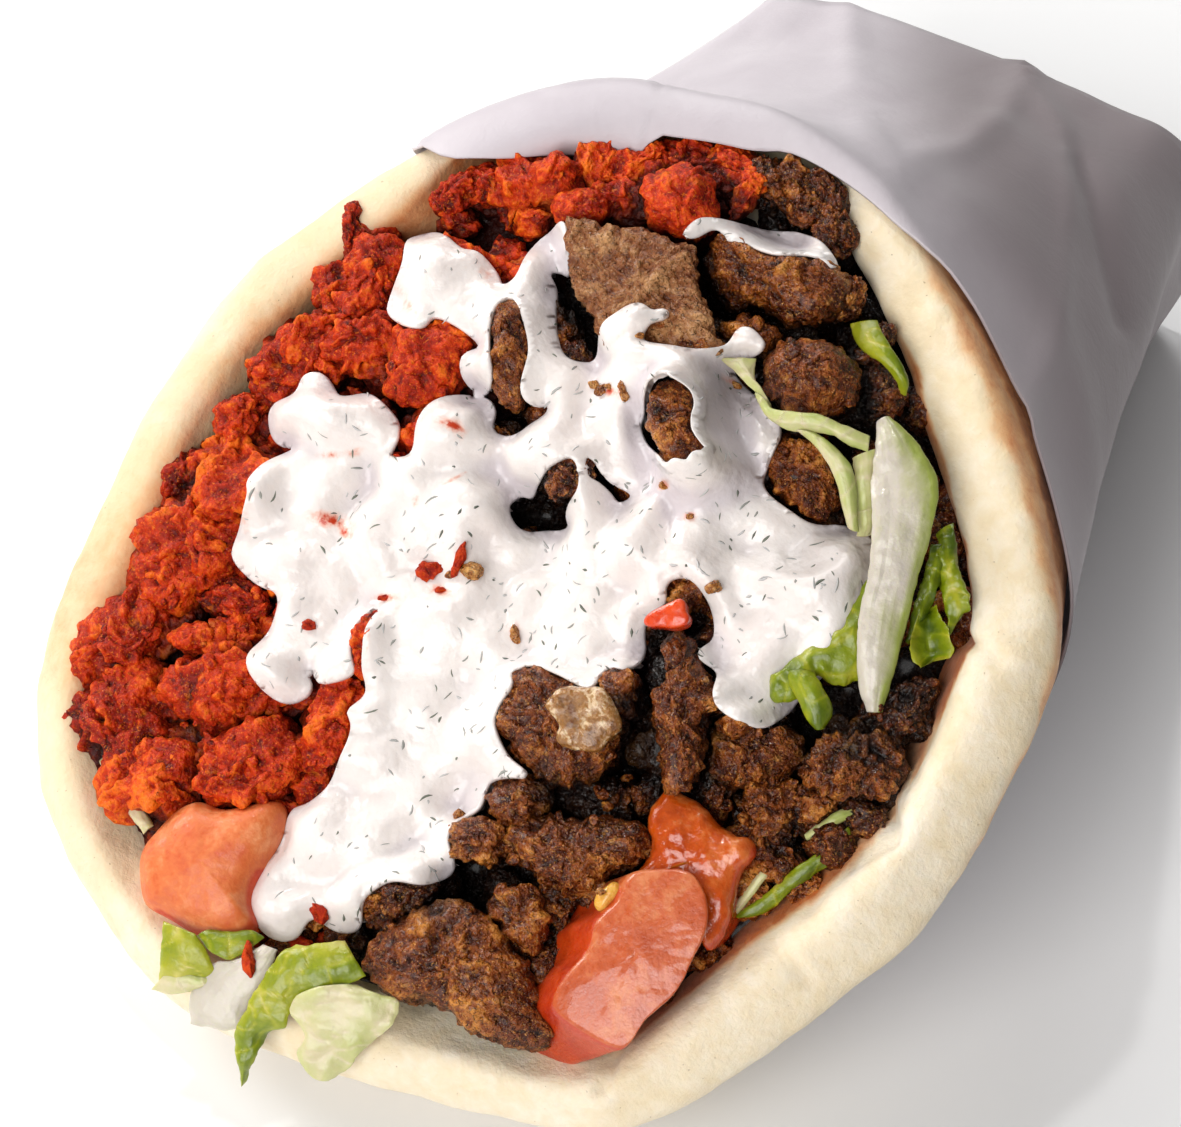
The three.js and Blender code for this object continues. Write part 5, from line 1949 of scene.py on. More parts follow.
@dataclass(frozen=True)
class Wrap:
    """The paper round the back of the bread, folded over its edge at the top."""

    columns: int = 220
    rows: int = 60
    thickness: float = 0.4
    length: float = 130.0  # along the wall, from the mouth to the closed end
    turn: float = 14.0  # round the bread's edge
    seed: int = 33
    creases: tuple[Crease, ...] = (
        Crease(((893, 184), (861, 142), (851, 94), (846, 20)), 16.0, 0.8),
        Crease(((912, 170), (955, 165), (998, 132), (1021, 85), (1031, 70)), 12.0, 0.7),
        Crease(((1068, 156), (1078, 213), (1092, 284), (1099, 330)), 9.0, -0.9),
        Crease(((1059, 165), (1054, 236), (1031, 359), (1010, 430)), 11.0, 0.6),
        Crease(((1021, 85), (1068, 156)), 9.0, 0.6),
    )
    # The fold along which the paper turns away from the light, in the picture.
    fold_line: tuple[tuple[float, float], ...] = (
        (884, -60), (868, 60), (862, 142), (893, 184), (985, 380), (1040, 560))
    # How far the paper reaches round the bread's edge, as a share: at each angle in degrees.
    reach: tuple[tuple[float, float], ...] = (
        (57, 0.0), (66, 0.2), (78, 0.36), (84, 0.44), (90, 0.56), (96, 0.58), (101, 0.62),
        (103, 0.92), (112, 0.98), (121, 0.82), (128, 0.58), (134, 0.0))

    def build(self) -> None:
        """Makes the wrap, with its finish."""
        wall = Wall(self.columns)
        noise = Noise(self.seed)
        hem = self._hem(wall)
        outer, inner = [], []
        for share in 1 - (1 - np.linspace(0, 1, self.rows)) ** 1.5:
            at = blend(-self.length, hem, share)
            station = np.where(at < 0, at / self.length, at / self.turn)
            fold = self._folds(wall.skin(station, GAP), at, hem, wall, noise)
            off = GAP + 0.05 + wall.swell + fold
            outer.append(wall.skin(station, off + self.thickness))
            inner.append(wall.skin(station, off))
        end = self._end(outer[0], noise)
        shape = Shape.capped(np.array([*end, *outer, *inner[::-1]]))
        # The two rings that meet at the hem are darkened with painted shade.
        meet = len(end) + self.rows
        hem_shade = np.zeros((meet + self.rows, self.columns))
        hem_shade[meet - 1:meet + 1] = wall.sector(-60, 60, 20)
        shape.mark_rings("painted_shade", hem_shade)
        # Painted shade past the fold line, where the paper turns away from the light.
        away = outline_distance(VIEW.pixels(shape.points), self.fold_line, closed=False)
        away += 18 * noise.smooth(shape.points / 30)
        shape.marks["painted_shade"] = np.maximum(shape.marks["painted_shade"], smoothstep(-away, -25, 110))
        shape.make("paper_wrap_sheet", PaperFinish().make(), "paper", ["paper_wrap"])

    def _hem(self, wall: Wall) -> np.ndarray:
        """Where the paper's front edge lies.

        Args:
            wall: the columns.

        Returns:
            Millimetres along each column, above 0 where it is folded over.
        """
        away = (1 - np.cos(wall.angle - math.radians(60))) / 2
        plain = -(0.02 + 0.2 * away**1.5) * self.length
        reach = np.interp(wall.degrees, *zip(*self.reach))
        return blend(plain, reach * self.turn, np.minimum(1, 4 * reach))

    def _folds(self, points: np.ndarray, at: np.ndarray, hem: np.ndarray, wall: Wall,
               noise: Noise) -> np.ndarray:
        """Broad soft folds, and creases along lines.

        Args:
            points: a ring of points.
            at: how far along its column each point lies, in millimetres.
            hem: how far along its column the paper ends.
            wall: the columns.
            noise: where the folds come from.

        Returns:
            How far the paper stands off the bread at each point.
        """
        run = np.stack([wall.angle * 34, at * 0.5, np.zeros(len(at))], axis=-1)
        from_hem = smoothstep(hem - at, 0.0, 30.0)
        fold = 0.15 + from_hem * (1.0 + 0.9 * noise.smooth(run / 24 + 3))
        fold += (0.25 + 0.75 * from_hem) * 0.35 * (1 + noise.smooth(run / 11 + 20))
        places = VIEW.pixels(points)
        fold += wall.sector(-30, 150, 30) * sum(c.rise(places, 1.6) for c in self.creases)
        return fold * np.where(points[:, 2] < 3, 0.25, 1.0)

    @staticmethod
    def _end(edge: np.ndarray, noise: Noise) -> list[np.ndarray]:
        """The closed end, with its folded-in layers.

        Args:
            edge: the ring that it ends at.
            noise: where its unevenness comes from.

        Returns:
            Rings of points, from its middle outwards.
        """
        middle = edge.mean(0)
        rings = []
        for share in np.linspace(0.04, 0.985, 16):
            ring = middle + (edge - middle) * share
            x, z = ring[:, 0] - middle[0], ring[:, 2] - middle[2]
            flap = np.minimum(np.abs(z + 0.25 * x), np.abs(z - 0.35 * x + 4))
            depth = 0.9 * bell(flap / 1.3) + 0.5 * (noise.smooth(ring / 9) + 1)
            ring[:, 1] -= depth * smoothstep(1 - share, 0.0, 0.25)
            rings.append(ring)
        return rings


# ---- Sauce --------------------------------------------------------------------------------------


@dataclass(frozen=True)
class SauceFinish:
    """Thick white herb sauce, stained with orange oil in places, with painted lilac shade in its
    dips.
    """

    shades: Shades = ((0.2, "E6DCD7"), (0.6, "EDE5E0"), (0.9, "F3ECE7"))
    # Painted shade for the dips.
    dip_shade: str = "B8ADB9"
    oil: Shades = ((0.0, "F0D3C4"), (0.45, "E58455"), (1.0, "BF3A16"))

    def make(self) -> bpy.types.Material:
        """Builds the finish.

        Returns:
            The material.
        """
        finish = Finish("sauce", Subsurface_Weight=0.3, Subsurface_Radius=(1.0, 0.9, 0.8),
                        Subsurface_Scale=0.0012, Roughness=0.3, Coat_Weight=0.15,
                        Coat_Roughness=0.12)
        graph = finish.graph
        base = graph.ramp(finish.mottle(7.0, 1.4), self.shades)
        # Painted shade: half the shade colour where the surface lies lower than round it.
        base = graph.mix(graph.math("MULTIPLY", graph.mark("dip_shade"), 0.5), base, self.dip_shade)
        patchy = graph.total((finish.mottle(1.3, 3.0), 1.0), start=0.35)
        oil = graph.scale(graph.math("MULTIPLY", graph.mark("oil"), patchy), 0.12, 0.9)
        finish.set("Base Color", graph.mix(oil, base, graph.ramp(oil, self.oil)))
        height = graph.total((graph.noise(3.2, 2.0), 1.0), (graph.noise(0.9, 2.0), 0.26))
        finish.set("Normal", graph.bump(height, 0.4))
        return finish.material


@dataclass(frozen=True)
class DillFinish:
    """Chopped dill, some of it under a film of sauce."""

    shades: Shades = ((0.2, "565B50"), (0.8, "7C8272"))
    film: str = "D2CFCE"

    def make(self) -> bpy.types.Material:
        """Builds the finish.

        Returns:
            The material.
        """
        finish = Finish("dill", Roughness=0.5)
        graph = finish.graph
        tint = graph.ramp(finish.mottle(1.5, 2.0), self.shades)
        finish.set("Base Color", graph.mix(graph.mark("film"), tint, self.film))
        return finish.material


# The sauce's outlines in the picture.
POOL = [
    (562, 220), (537, 232), (527, 247), (516, 275), (499, 284), (494, 272), (474, 250), (463, 250),
    (444, 235), (426, 228), (409, 230), (401, 260), (385, 297), (384, 309), (402, 323), (414, 327),
    (423, 326), (430, 315), (464, 330), (475, 343), (465, 347), (459, 354), (457, 366), (461, 379),
    (470, 386), (481, 387), (489, 381), (491, 368), (486, 338), (488, 322), (502, 299), (512, 297),
    (519, 305), (523, 318), (528, 350), (521, 385), (523, 398), (534, 404), (545, 401), (548, 405),
    (541, 415), (513, 431), (500, 434), (490, 430), (487, 420), (489, 405), (484, 396), (472, 391),
    (458, 391), (431, 400), (421, 408), (416, 420), (413, 447), (408, 455), (397, 458), (388, 456),
    (396, 434), (394, 420), (387, 410), (370, 394), (358, 390), (338, 396), (319, 372), (309, 371),
    (299, 375), (291, 391), (271, 401), (264, 411), (268, 435), (276, 442), (293, 444), (276, 453),
    (247, 484), (250, 492), (229, 553), (243, 573), (262, 586), (271, 588), (277, 596), (278, 606),
    (272, 620), (247, 655), (255, 682), (275, 699), (288, 700), (308, 689), (301, 668), (307, 668),
    (318, 682), (345, 676), (353, 670), (350, 658), (354, 629), (378, 604), (366, 643), (362, 669),
    (364, 693), (345, 712), (350, 719), (345, 745), (323, 787), (303, 803), (288, 808), (277, 846),
    (249, 886), (247, 902), (251, 916), (260, 929), (270, 937), (281, 940), (292, 937), (305, 920),
    (312, 916), (329, 928), (339, 931), (349, 929), (356, 921), (363, 897), (372, 889), (384, 882),
    (397, 880), (422, 883), (441, 872), (450, 855), (447, 844), (449, 831), (455, 821), (476, 806),
    (485, 782), (498, 776), (525, 774), (505, 756), (498, 743), (493, 718), (498, 704), (513, 684),
    (509, 673), (516, 667), (530, 664), (557, 673), (582, 686), (591, 687), (602, 669), (614, 666),
    (625, 669), (632, 664), (637, 652), (641, 624), (648, 613), (665, 600), (663, 589), (669, 579),
    (681, 576), (693, 580), (708, 601), (712, 630), (707, 641), (699, 646), (697, 656), (715, 670),
    (713, 695), (718, 707), (760, 727), (781, 712), (800, 690), (842, 658), (860, 630), (870, 600),
    (874, 570), (872, 545), (864, 533), (836, 522), (821, 524), (806, 521), (791, 512), (757, 480),
    (776, 424), (727, 366), (735, 356), (750, 352), (763, 344), (757, 334), (748, 326), (738, 326),
    (727, 344), (698, 350), (642, 341), (643, 329), (651, 319), (664, 317), (668, 310), (660, 307),
    (650, 311), (644, 304), (634, 302), (611, 317), (602, 327), (588, 359), (577, 361), (566, 358),
    (557, 348), (552, 332), (548, 280), (543, 268), (551, 263), (561, 268),
]
POOL_HOLES = [
    [(505, 510), (506, 498), (514, 490), (524, 492), (530, 485), (540, 476), (548, 467),
     (559, 461), (570, 457), (577, 462), (581, 480), (578, 492), (568, 505), (563, 515),
     (566, 524), (557, 527), (540, 528), (525, 531), (513, 525)],
    [(586, 456), (592, 458), (598, 468), (606, 478), (616, 484), (624, 488), (630, 494),
     (622, 499), (613, 500), (607, 492), (597, 482), (588, 478), (585, 466)],
    [(646, 382), (654, 379), (664, 373), (676, 379), (690, 388), (695, 402), (692, 416),
     (694, 430), (702, 442), (709, 452), (698, 456), (690, 465), (678, 462), (668, 466),
     (658, 456), (648, 447), (638, 436), (634, 417), (638, 398)],
]
DRIZZLE = [
    (681, 233), (695, 219), (708, 217), (785, 225), (800, 229), (822, 243), (836, 264), (834, 269),
    (826, 262), (818, 257), (805, 254), (775, 254), (738, 241), (728, 240), (722, 234), (720, 228),
    (711, 226), (690, 235),
]


@dataclass(frozen=True)
class Step:
    """A place where the sauce stands up: sharply on the left of a line, then falling away.

    The line is in the picture, with a height in millimetres at each of its points.
    """

    line: tuple[tuple[float, float, float], ...]
    shoulder: float  # how far its top runs before it falls away
    fall: float
    flank: float = 1.3  # width of its sharp side

    def rise(self, places: np.ndarray, under: HeightField) -> np.ndarray:
        """How much higher the sauce stands.

        Args:
            places: places on the mouth.
            under: what the sauce lies on.

        Returns:
            The height at each place.
        """
        rows = smooth_path(self.line, 5 * len(self.line))
        traced = under.trace(rows[:, :2], rows[:, 2])
        away = -outline_distance(places, traced, closed=False)
        gap = np.linalg.norm(places[:, None] - traced[None], axis=2)
        weight = bell(gap / 1.5) + 1e-12 / (1 + gap)
        height = (weight * rows[:, 2]).sum(1) / weight.sum(1)
        start = 1 - np.clip(away / self.shoulder, 0, 1)
        over = np.maximum(0, away - self.shoulder) / self.fall
        inner = (0.62 + 0.38 * np.sqrt(np.maximum(0, 1 - start**2))) * bell(over)
        outer = 0.62 * (1 - smoothstep(-away, 0, self.flank))
        ends = smoothstep(np.linalg.norm(places - traced[0], axis=1), 0, 1)
        return height * np.where(away > 0, inner, outer) * blend(0.3, 1.0, ends)


@dataclass(frozen=True)
class Hump:
    """A rounded swelling of the sauce at a pixel, with its radius and height in millimetres."""

    x: float
    y: float
    radius: float
    height: float

    def rise(self, places: np.ndarray, under: HeightField) -> np.ndarray:
        """How much higher the sauce stands.

        Args:
            places: rows of a and b.
            under: what the sauce lies on.

        Returns:
            The height at each place.
        """
        middle = under.trace([(self.x, self.y)], self.height)[0]
        away = np.linalg.norm(places - middle, axis=1) / self.radius
        return self.height * np.maximum(0, 1 - away**2) ** 2


@dataclass(frozen=True)
class Pour:
    """One stretch of sauce: its outline, openings and thickness, and a rectangle round it."""

    outline: Sequence[Any]
    holes: Sequence[Any]
    depth: float
    low: tuple[float, float]
    high: tuple[float, float]

    def inside(self, over: HeightField) -> np.ndarray:
        """How far into the sauce places lie.

        Args:
            over: the sauce's upper surface, roughly.

        Returns:
            Millimetres into the sauce at each of the field's places, negative outside it.
        """
        places = over.places.reshape(-1, 2)
        above = 0.6 * self.depth
        rim = spaced_loop(over.trace(self.outline, above), 700, 0.45)
        found = outline_distance(places, rim)
        for hole in self.holes:
            edge = spaced_loop(over.trace(hole, above), 90, 0.3)
            found = np.minimum(found, -outline_distance(places, edge))
        return found.reshape(over.height.shape)


@dataclass(frozen=True)
class Sauce:
    """The sauce poured over the middle, its drizzle, and what floats in it."""

    surface: Surface
    step: float = 0.42  # spacing of the mesh
    edge: float = 2.0  # how far in the rounded edge runs
    pours: tuple[Pour, ...] = (
        Pour(POOL, POOL_HOLES, 2.6, (-50, -62), (42, 46)),
        Pour(DRIZZLE, (), 1.6, (-8, 24), (26, 56)),
    )
    # The edge bulges and tucks under: how far out, and how far down where it is 2.6 mm thick.
    tuck: tuple[tuple[float, float], ...] = ((0.16, 0.35), (0.16, 0.85), (-0.1, 1.4), (-0.9, 2.2))
    steps: tuple[Step, ...] = (
        Step(((597, 472, 0.8), (591, 445, 1.4), (591, 405, 2.0), (597, 372, 2.8), (612, 357, 4.0),
              (632, 345, 4.8), (655, 342, 5.4), (675, 347, 5.6), (691, 358, 5.6), (702, 380, 5.4),
              (708, 405, 5.2), (714, 425, 4.8), (726, 443, 4.4), (742, 462, 3.9), (758, 480, 3.2),
              (778, 499, 2.4), (802, 517, 1.2)), 3.0, 7.0, 0.9),
        Step(((520, 610, 0.4), (524, 595, 0.9), (540, 581, 1.1), (560, 573, 1.0),
              (582, 572, 0.5)), 1.6, 6.0),
    )
    humps: tuple[Hump, ...] = (
        Hump(476, 364, 3.2, 2.2), Hump(352, 425, 6.0, 1.6), Hump(300, 405, 4.5, 1.6),
        Hump(445, 428, 5.5, 1.4), Hump(443, 275, 6.5, 1.2), Hump(280, 672, 5.0, 1.8),
        Hump(285, 905, 6.5, 2.2), Hump(750, 690, 6.0, 1.2), Hump(640, 320, 3.5, 1.4),
        Hump(752, 418, 5.5, 2.2),
    )
    # Oil in the sauce: pixel, half sizes in pixels, turn in degrees and strength.
    stains: tuple[tuple[float, float, float, float, float, float], ...] = (
        (330, 520, 22, 8, 12, 1.0), (345, 532, 9, 5, 40, 0.9), (450, 425, 6, 18, -70, 0.9),
        (460, 428, 10, 20, 0, 0.35), (440, 590, 14, 7, 10, 0.8), (385, 598, 12, 4, 0, 0.9),
        (400, 600, 40, 16, -25, 0.25), (415, 500, 4, 9, 0, 0.6), (360, 585, 30, 14, -40, 0.2),
        (455, 478, 16, 2, -28, 0.7), (330, 455, 12, 4, 0, 0.8), (355, 452, 14, 5, -10, 0.5),
        (300, 640, 20, 12, 0, 0.25), (398, 288, 16, 6, 40, 0.5), (410, 308, 14, 8, 50, 0.45),
        (487, 275, 9, 12, -30, 0.5), (245, 520, 10, 24, 0, 0.35), (250, 490, 8, 10, 0, 0.5),
        (612, 392, 16, 5, 10, 0.8), (663, 485, 7, 6, 0, 0.7), (690, 517, 7, 5, 0, 0.9),
        (515, 632, 5, 10, 0, 0.8), (458, 815, 6, 5, 0, 0.7), (735, 335, 10, 6, 0, 0.4),
        (730, 380, 12, 4, 30, 0.6), (700, 350, 20, 4, 0, 0.3), (620, 335, 14, 5, -40, 0.3),
        (367, 650, 3, 24, 5, 0.4), (345, 735, 4, 20, 5, 0.35), (300, 806, 12, 4, -20, 0.4),
    )
    flecks: int = 430
    noise: Noise = Noise(52)

    def build(self) -> Shape:
        """Makes the sauce and what floats in it, with their finishes.

        Returns:
            The sauce's shape.
        """
        poured = [self._drape(pour) for pour in self.pours]
        whole = Shape.joined(poured)
        whole.make("herb_sauce", SauceFinish().make(), "sauce", ["sauce"])
        self._dill(Surface(poured))
        return whole

    def _drape(self, pour: Pour) -> Shape:
        """Lays sauce over what is there.

        Args:
            pour: the stretch of sauce.

        Returns:
            The sauce as a closed shape, marked with its oil and with its dips for painted shade.
        """
        grid = HeightField.grid(pour.low, pour.high, self.step)
        under = np.maximum(self.surface.heights(grid), BED.height(grid) - 1.0)
        bottom = HeightField(grid, under).softened(0.8, 1.0)
        calm = HeightField(grid, under).softened(1.2, 2.6)
        places = grid.reshape(-1, 2)
        rise = sum(s.rise(places, calm) for s in (*self.steps, *self.humps)).reshape(under.shape)
        inside = pour.inside(HeightField(grid, calm.height + rise))
        share = np.clip((inside - 0.3 * self.step) / self.edge, 0, 1)
        # The sauce levels itself in its middle, and follows what it lies on near its edge.
        top = blend(bottom.height, calm.height + 0.3, smoothstep(inside, 1.0, 7.0) * 0.3)
        folds = self.noise.layered(np.pad(grid, ((0, 0), (0, 0), (0, 1))) / 7.5)
        top = top + rise + 0.4 * folds * smoothstep(inside, 0.3, 3)
        top = top + pour.depth * (0.35 + 0.65 * np.sin(0.5 * math.pi * share))
        top = HeightField(grid, top).softened(0.0, 0.6)
        # How far the sauce lies below the surface round it, for painted shade.
        dip_shade = smoothstep(top.softened(1.2, 2.4).height - top.height, 0.35, 2.2)
        shape = self._closed(top, inside, pour.depth)
        shape.marks["oil"] = self._oil(VIEW.pixels(shape.points))
        shape.marks["dip_shade"] = HeightField(grid, dip_shade).at(Mouth.place(shape.points))
        return shape

    def _closed(self, top: HeightField, inside: np.ndarray, depth: float) -> Shape:
        """A closed shape from the part of a height field that is inside an outline.

        Args:
            top: the upper surface.
            inside: how far inside the outline each of its places lies.
            depth: the thickness.

        Returns:
            The shape, with a rim that bulges and tucks under a flat underside.
        """
        slope = np.stack(np.gradient(inside, self.step), axis=-1)
        near = np.abs(inside) < 0.75 * self.step
        # Places near the outline move onto it.
        move = np.where(near, -inside / np.maximum((slope**2).sum(-1), 0.15), 0.0)
        places = top.places + move[..., None] * slope
        number = np.arange(inside.size).reshape(inside.shape)
        kept = (inside >= 0) | near
        sides = [np.s_[:-1, :-1], np.s_[1:, :-1], np.s_[1:, 1:], np.s_[:-1, 1:]]
        whole = np.all([kept[side] for side in sides], axis=0)
        used, faces = np.unique(np.stack([number[side][whole] for side in sides], axis=-1),
                                return_inverse=True)
        faces = faces.reshape(-1, 4)
        flat = places.reshape(-1, 2)[used]
        upper = np.column_stack([flat, top.at(flat)])
        edges = np.concatenate([faces[:, [i, (i + 1) % 4]] for i in range(4)])
        twins = {tuple(edge) for edge in edges[:, ::-1].tolist()}
        rim, pairs = np.unique([e for e in edges.tolist() if tuple(e) not in twins],
                               return_inverse=True)
        start, end = pairs.reshape(-1, 2).T
        outward = unit(-slope.reshape(-1, 2)[used][rim])
        layers, all_faces, previous, count = [upper], [faces], rim, len(upper)
        for out, drop in self.tuck:
            ring = upper[rim]
            ring[:, :2] += outward * out
            ring[:, 2] -= drop * depth / 2.6
            layers.append(ring)
            current = count + np.arange(len(rim))
            all_faces.append(np.stack([previous[end], previous[start], current[start],
                                       current[end]], axis=-1))
            previous, count = current, count + len(rim)
        below = count + np.arange(len(upper))
        below[rim] = previous
        layers.append(upper - [0, 0, depth * 1.1])
        all_faces.append(below[faces[:, ::-1]])
        keep, faces = np.unique(np.vstack(all_faces), return_inverse=True)
        return Shape(Mouth.point(np.vstack(layers)[keep]), faces.reshape(-1, 4))

    def _oil(self, places: np.ndarray) -> np.ndarray:
        """How much oil stains the sauce.

        Args:
            places: rows of x and y in pixels.

        Returns:
            The oil at each place, from 0 to 1.
        """
        oil = np.zeros(len(places))
        for x, y, long, wide, turn, strength in self.stains:
            along, across = turned(places - [x, y], turn)
            oil = np.maximum(oil, strength * bell(np.hypot(along / long, across / wide)))
        return oil

    def _dill(self, surface: Surface) -> None:
        """Flecks of chopped dill on the sauce and just under its surface.

        Args:
            surface: the sauce.
        """
        rng = np.random.default_rng(14)
        shapes = []
        while len(shapes) < self.flecks:
            x, y = rng.uniform(225, 880), rng.uniform(215, 945)
            spot = surface.seen(x, y) if x > 500 or rng.random() < 0.6 else None
            if spot is not None:
                shapes.append(self._fleck(*spot, rng))
        Shape.joined(shapes).make("dill_flecks", DillFinish().make(), "sauce")

    @staticmethod
    def _fleck(point: np.ndarray, normal: np.ndarray, rng: np.random.Generator) -> Shape:
        """A bent sliver of dill that tapers at both ends.

        Args:
            point: its middle.
            normal: the way out of the sauce.
            rng: what its turn, size and bend are drawn from.

        Returns:
            The fleck, marked with how much of a film lies on it.
        """
        along = unit(np.cross(normal, rng.normal(size=3)))
        side = np.cross(normal, along)
        long = rng.uniform(0.25, 0.95) * rng.uniform(0.6, 1.1)
        wide = rng.uniform(0.08, 0.17)
        bend = rng.uniform(-0.5, 0.5)
        t = np.linspace(-1, 1, 5)[:, None]
        line = point + along * t * long + side * bend * (t**2 - 0.4) * long * 0.6
        taper = np.sqrt(1.05 - t**2) * rng.uniform(0.7, 1.2, t.shape)
        section = [side * wide, normal * 0.06, -side * wide, -normal * 0.1]
        shape = Shape.capped(np.stack([line + s * taper for s in section], axis=1))
        film = rng.choice([0.0, 0.3, 0.5, 0.7, 0.85])
        shape.marks["film"] = np.full(len(shape.points), film)
        return shape


# ---- Salad --------------------------------------------------------------------------------------


@dataclass(frozen=True)
class JuicyFinish:
    """A wet cut vegetable: its flesh, its skin where it is marked, and what lies between."""

    name: str
    flesh: Shades
    skin: Shades
    roughness: float = 0.28
    bump: float = 0.12
    glow: float = 0.3
    wet: float = 0.45

    def make(self) -> bpy.types.Material:
        """Builds the finish.

        Returns:
            The material.
        """
        finish = Finish(self.name, Subsurface_Weight=self.glow, Subsurface_Scale=0.0018,
                        Subsurface_Radius=(1.0, 0.35, 0.15), Coat_Weight=self.wet,
                        Coat_Roughness=0.08)
        graph = finish.graph
        soft, fine = finish.mottle(5.0, 1.5), finish.mottle(0.9, 1.6)
        base = graph.ramp(graph.total((soft, 0.65), (fine, 0.35)), self.flesh)
        rind = graph.scale(graph.total((graph.mark("skin"), 1.0), (fine, 0.2)), 0.35, 0.75)
        finish.set("Base Color", graph.mix(rind, base, graph.ramp(soft, self.skin)))
        finish.set("Roughness", graph.scale(fine, 0.2, 0.8,
                                            (self.roughness * 0.7, self.roughness * 1.4)))
        height = graph.math("ADD", graph.noise(0.45, 3.0), finish.mottle(2.6, 1.2))
        finish.set("Normal", graph.bump(height, self.bump))
        return finish.material


TOMATO = JuicyFinish("tomato", ((0.15, "A63E14"), (0.5, "BE5626"), (0.85, "D88854")),
                     ((0.2, "A42404"), (0.8, "C8440E")), 0.36, 0.1, 0.15)
TOMATO_JELLY = JuicyFinish("tomato_jelly", ((0.15, "A03406"), (0.5, "C4500E"), (0.85, "E08A48")),
                           ((0.2, "A02A0C"), (0.8, "CC4410")), 0.12, 0.1, 0.25)
TOMATO_PALE = JuicyFinish("tomato_pale", ((0.15, "C84A1C"), (0.5, "DA7238"), (0.85, "EEA470")),
                          ((0.2, "B82606"), (0.8, "D8501A")), 0.5, 0.08, 0.15, 0.1)
PEPPER = JuicyFinish("pepper", ((0.2, "BE2C06"), (0.8, "E65418")),
                     ((0.2, "B42404"), (0.8, "D2400A")), 0.26, 0.1)
CORN = JuicyFinish("corn", ((0.2, "D08A26"), (0.8, "F2C25A")), ((0.2, "B87420"), (0.8, "D89A3C")),
                   0.3, 0.14)
# The onion's pale band stands for painted highlights.
ONION = JuicyFinish("onion", ((0.3, "6A3E16"), (0.48, "9C6C34"), (0.58, "DCC29C"), (0.66, "A87C3E"),
                              (0.85, "744A1E")),
                    ((0.2, "76542E"), (0.8, "AE8E60")), 0.08, 0.3, 0.3)


@dataclass(frozen=True)
class CutPiece:
    """A slice of a juicy vegetable, with its slot, its finish and where its side is skin."""

    slot: str
    finish: JuicyFinish
    piece: Slice
    skin: tuple[float, float] = (0.0, 0.0)  # angles between which the side is skin, in degrees

    def shape(self, noise: Noise) -> Shape:
        """Makes the piece's shape.

        Args:
            noise: where its unevenness comes from.

        Returns:
            The shape, with its skin marked.
        """
        shape, side, away = self.piece.form()
        local = Mouth.place(shape.points)
        off = noise.layered(local / 4.5) + 0.3 * noise.smooth(local / 0.9)
        shape.points = shape.points + shape.normals() * (self.piece.rough * off)[:, None]
        low, high = self.skin
        half = (high - low) / 2
        apart = np.degrees(np.arctan2(away[:, 1], away[:, 0])) - low - half
        apart = np.abs((apart + 180) % 360 - 180)
        shape.mark_rings("skin", side * smoothstep(half + 6 - apart, 0, 12))
        return shape


CUT_PIECES = (
    CutPiece("tomato", TOMATO, Slice("tomato_front", (
        (633, 873), (659, 868), (694, 871), (709, 899), (709, 925), (696, 957), (680, 990),
        (649, 1019), (625, 1049), (597, 1040), (565, 1019), (552, 1004), (565, 978), (591, 946),
        (597, 920), (618, 899)), 11.8, 8.5, 0.6, 0.5, (0, 0), 0.12, 1.0, (-7.5, -5.0)),
        (-235, -40)),
    CutPiece("tomato", TOMATO_JELLY, Slice("tomato_back", (
        (656, 796), (664, 787), (676, 790), (690, 796), (703, 808), (716, 823), (733, 833),
        (748, 841), (751, 854), (739, 869), (733, 884), (731, 906), (729, 919), (719, 937),
        (706, 950), (690, 900), (660, 875), (628, 880), (647, 853), (648, 840), (645, 823),
        (650, 806)), 9.2, 7.5, 1.6, 0.8, (0, 0), 0.35, 0.9), (-60, 40)),
    CutPiece("tomato", TOMATO_PALE, Slice("tomato_left", (
        (132, 860), (137, 845), (149, 830), (167, 811), (190, 799), (216, 806), (247, 801),
        (272, 799), (279, 808), (276, 830), (262, 860), (249, 885), (247, 905), (250, 925),
        (228, 941), (209, 936), (189, 933), (161, 917), (138, 902), (133, 885)), 10.0, 8.0, 3.0,
        2.0, (0, 0), 0.1, 0.92), (-120, 20)),
    CutPiece("pepper", PEPPER, Slice("pepper_bit", (
        (641, 619), (650, 611), (668, 603), (680, 598), (686, 603), (686, 612), (690, 616),
        (688, 624), (676, 628), (660, 627), (644, 625)), 13.5, 2.0, 0.4, 0.3,
        (0.12, 0.1), 0.1, 0.95), (0, 359)),
    CutPiece("onion", ONION, Slice("onion_bit", (
        (543, 705), (552, 691), (564, 685), (582, 687), (601, 687), (610, 700), (619, 719),
        (618, 728), (608, 739), (596, 751), (582, 749), (564, 746), (555, 739), (559, 726),
        (550, 712)), 14.0, 3.0, 0.9, 0.4, (0, 0), 0.35, 0.9)),
    CutPiece("corn", CORN, Slice("corn_bit", (
        (592, 905), (594, 897), (606, 885), (614, 881), (620, 885), (618, 894), (607, 908),
        (598, 913)), 11.0, 2.6, 0.7, 0.4, (0, 0), 0.25, 0.9)),
)


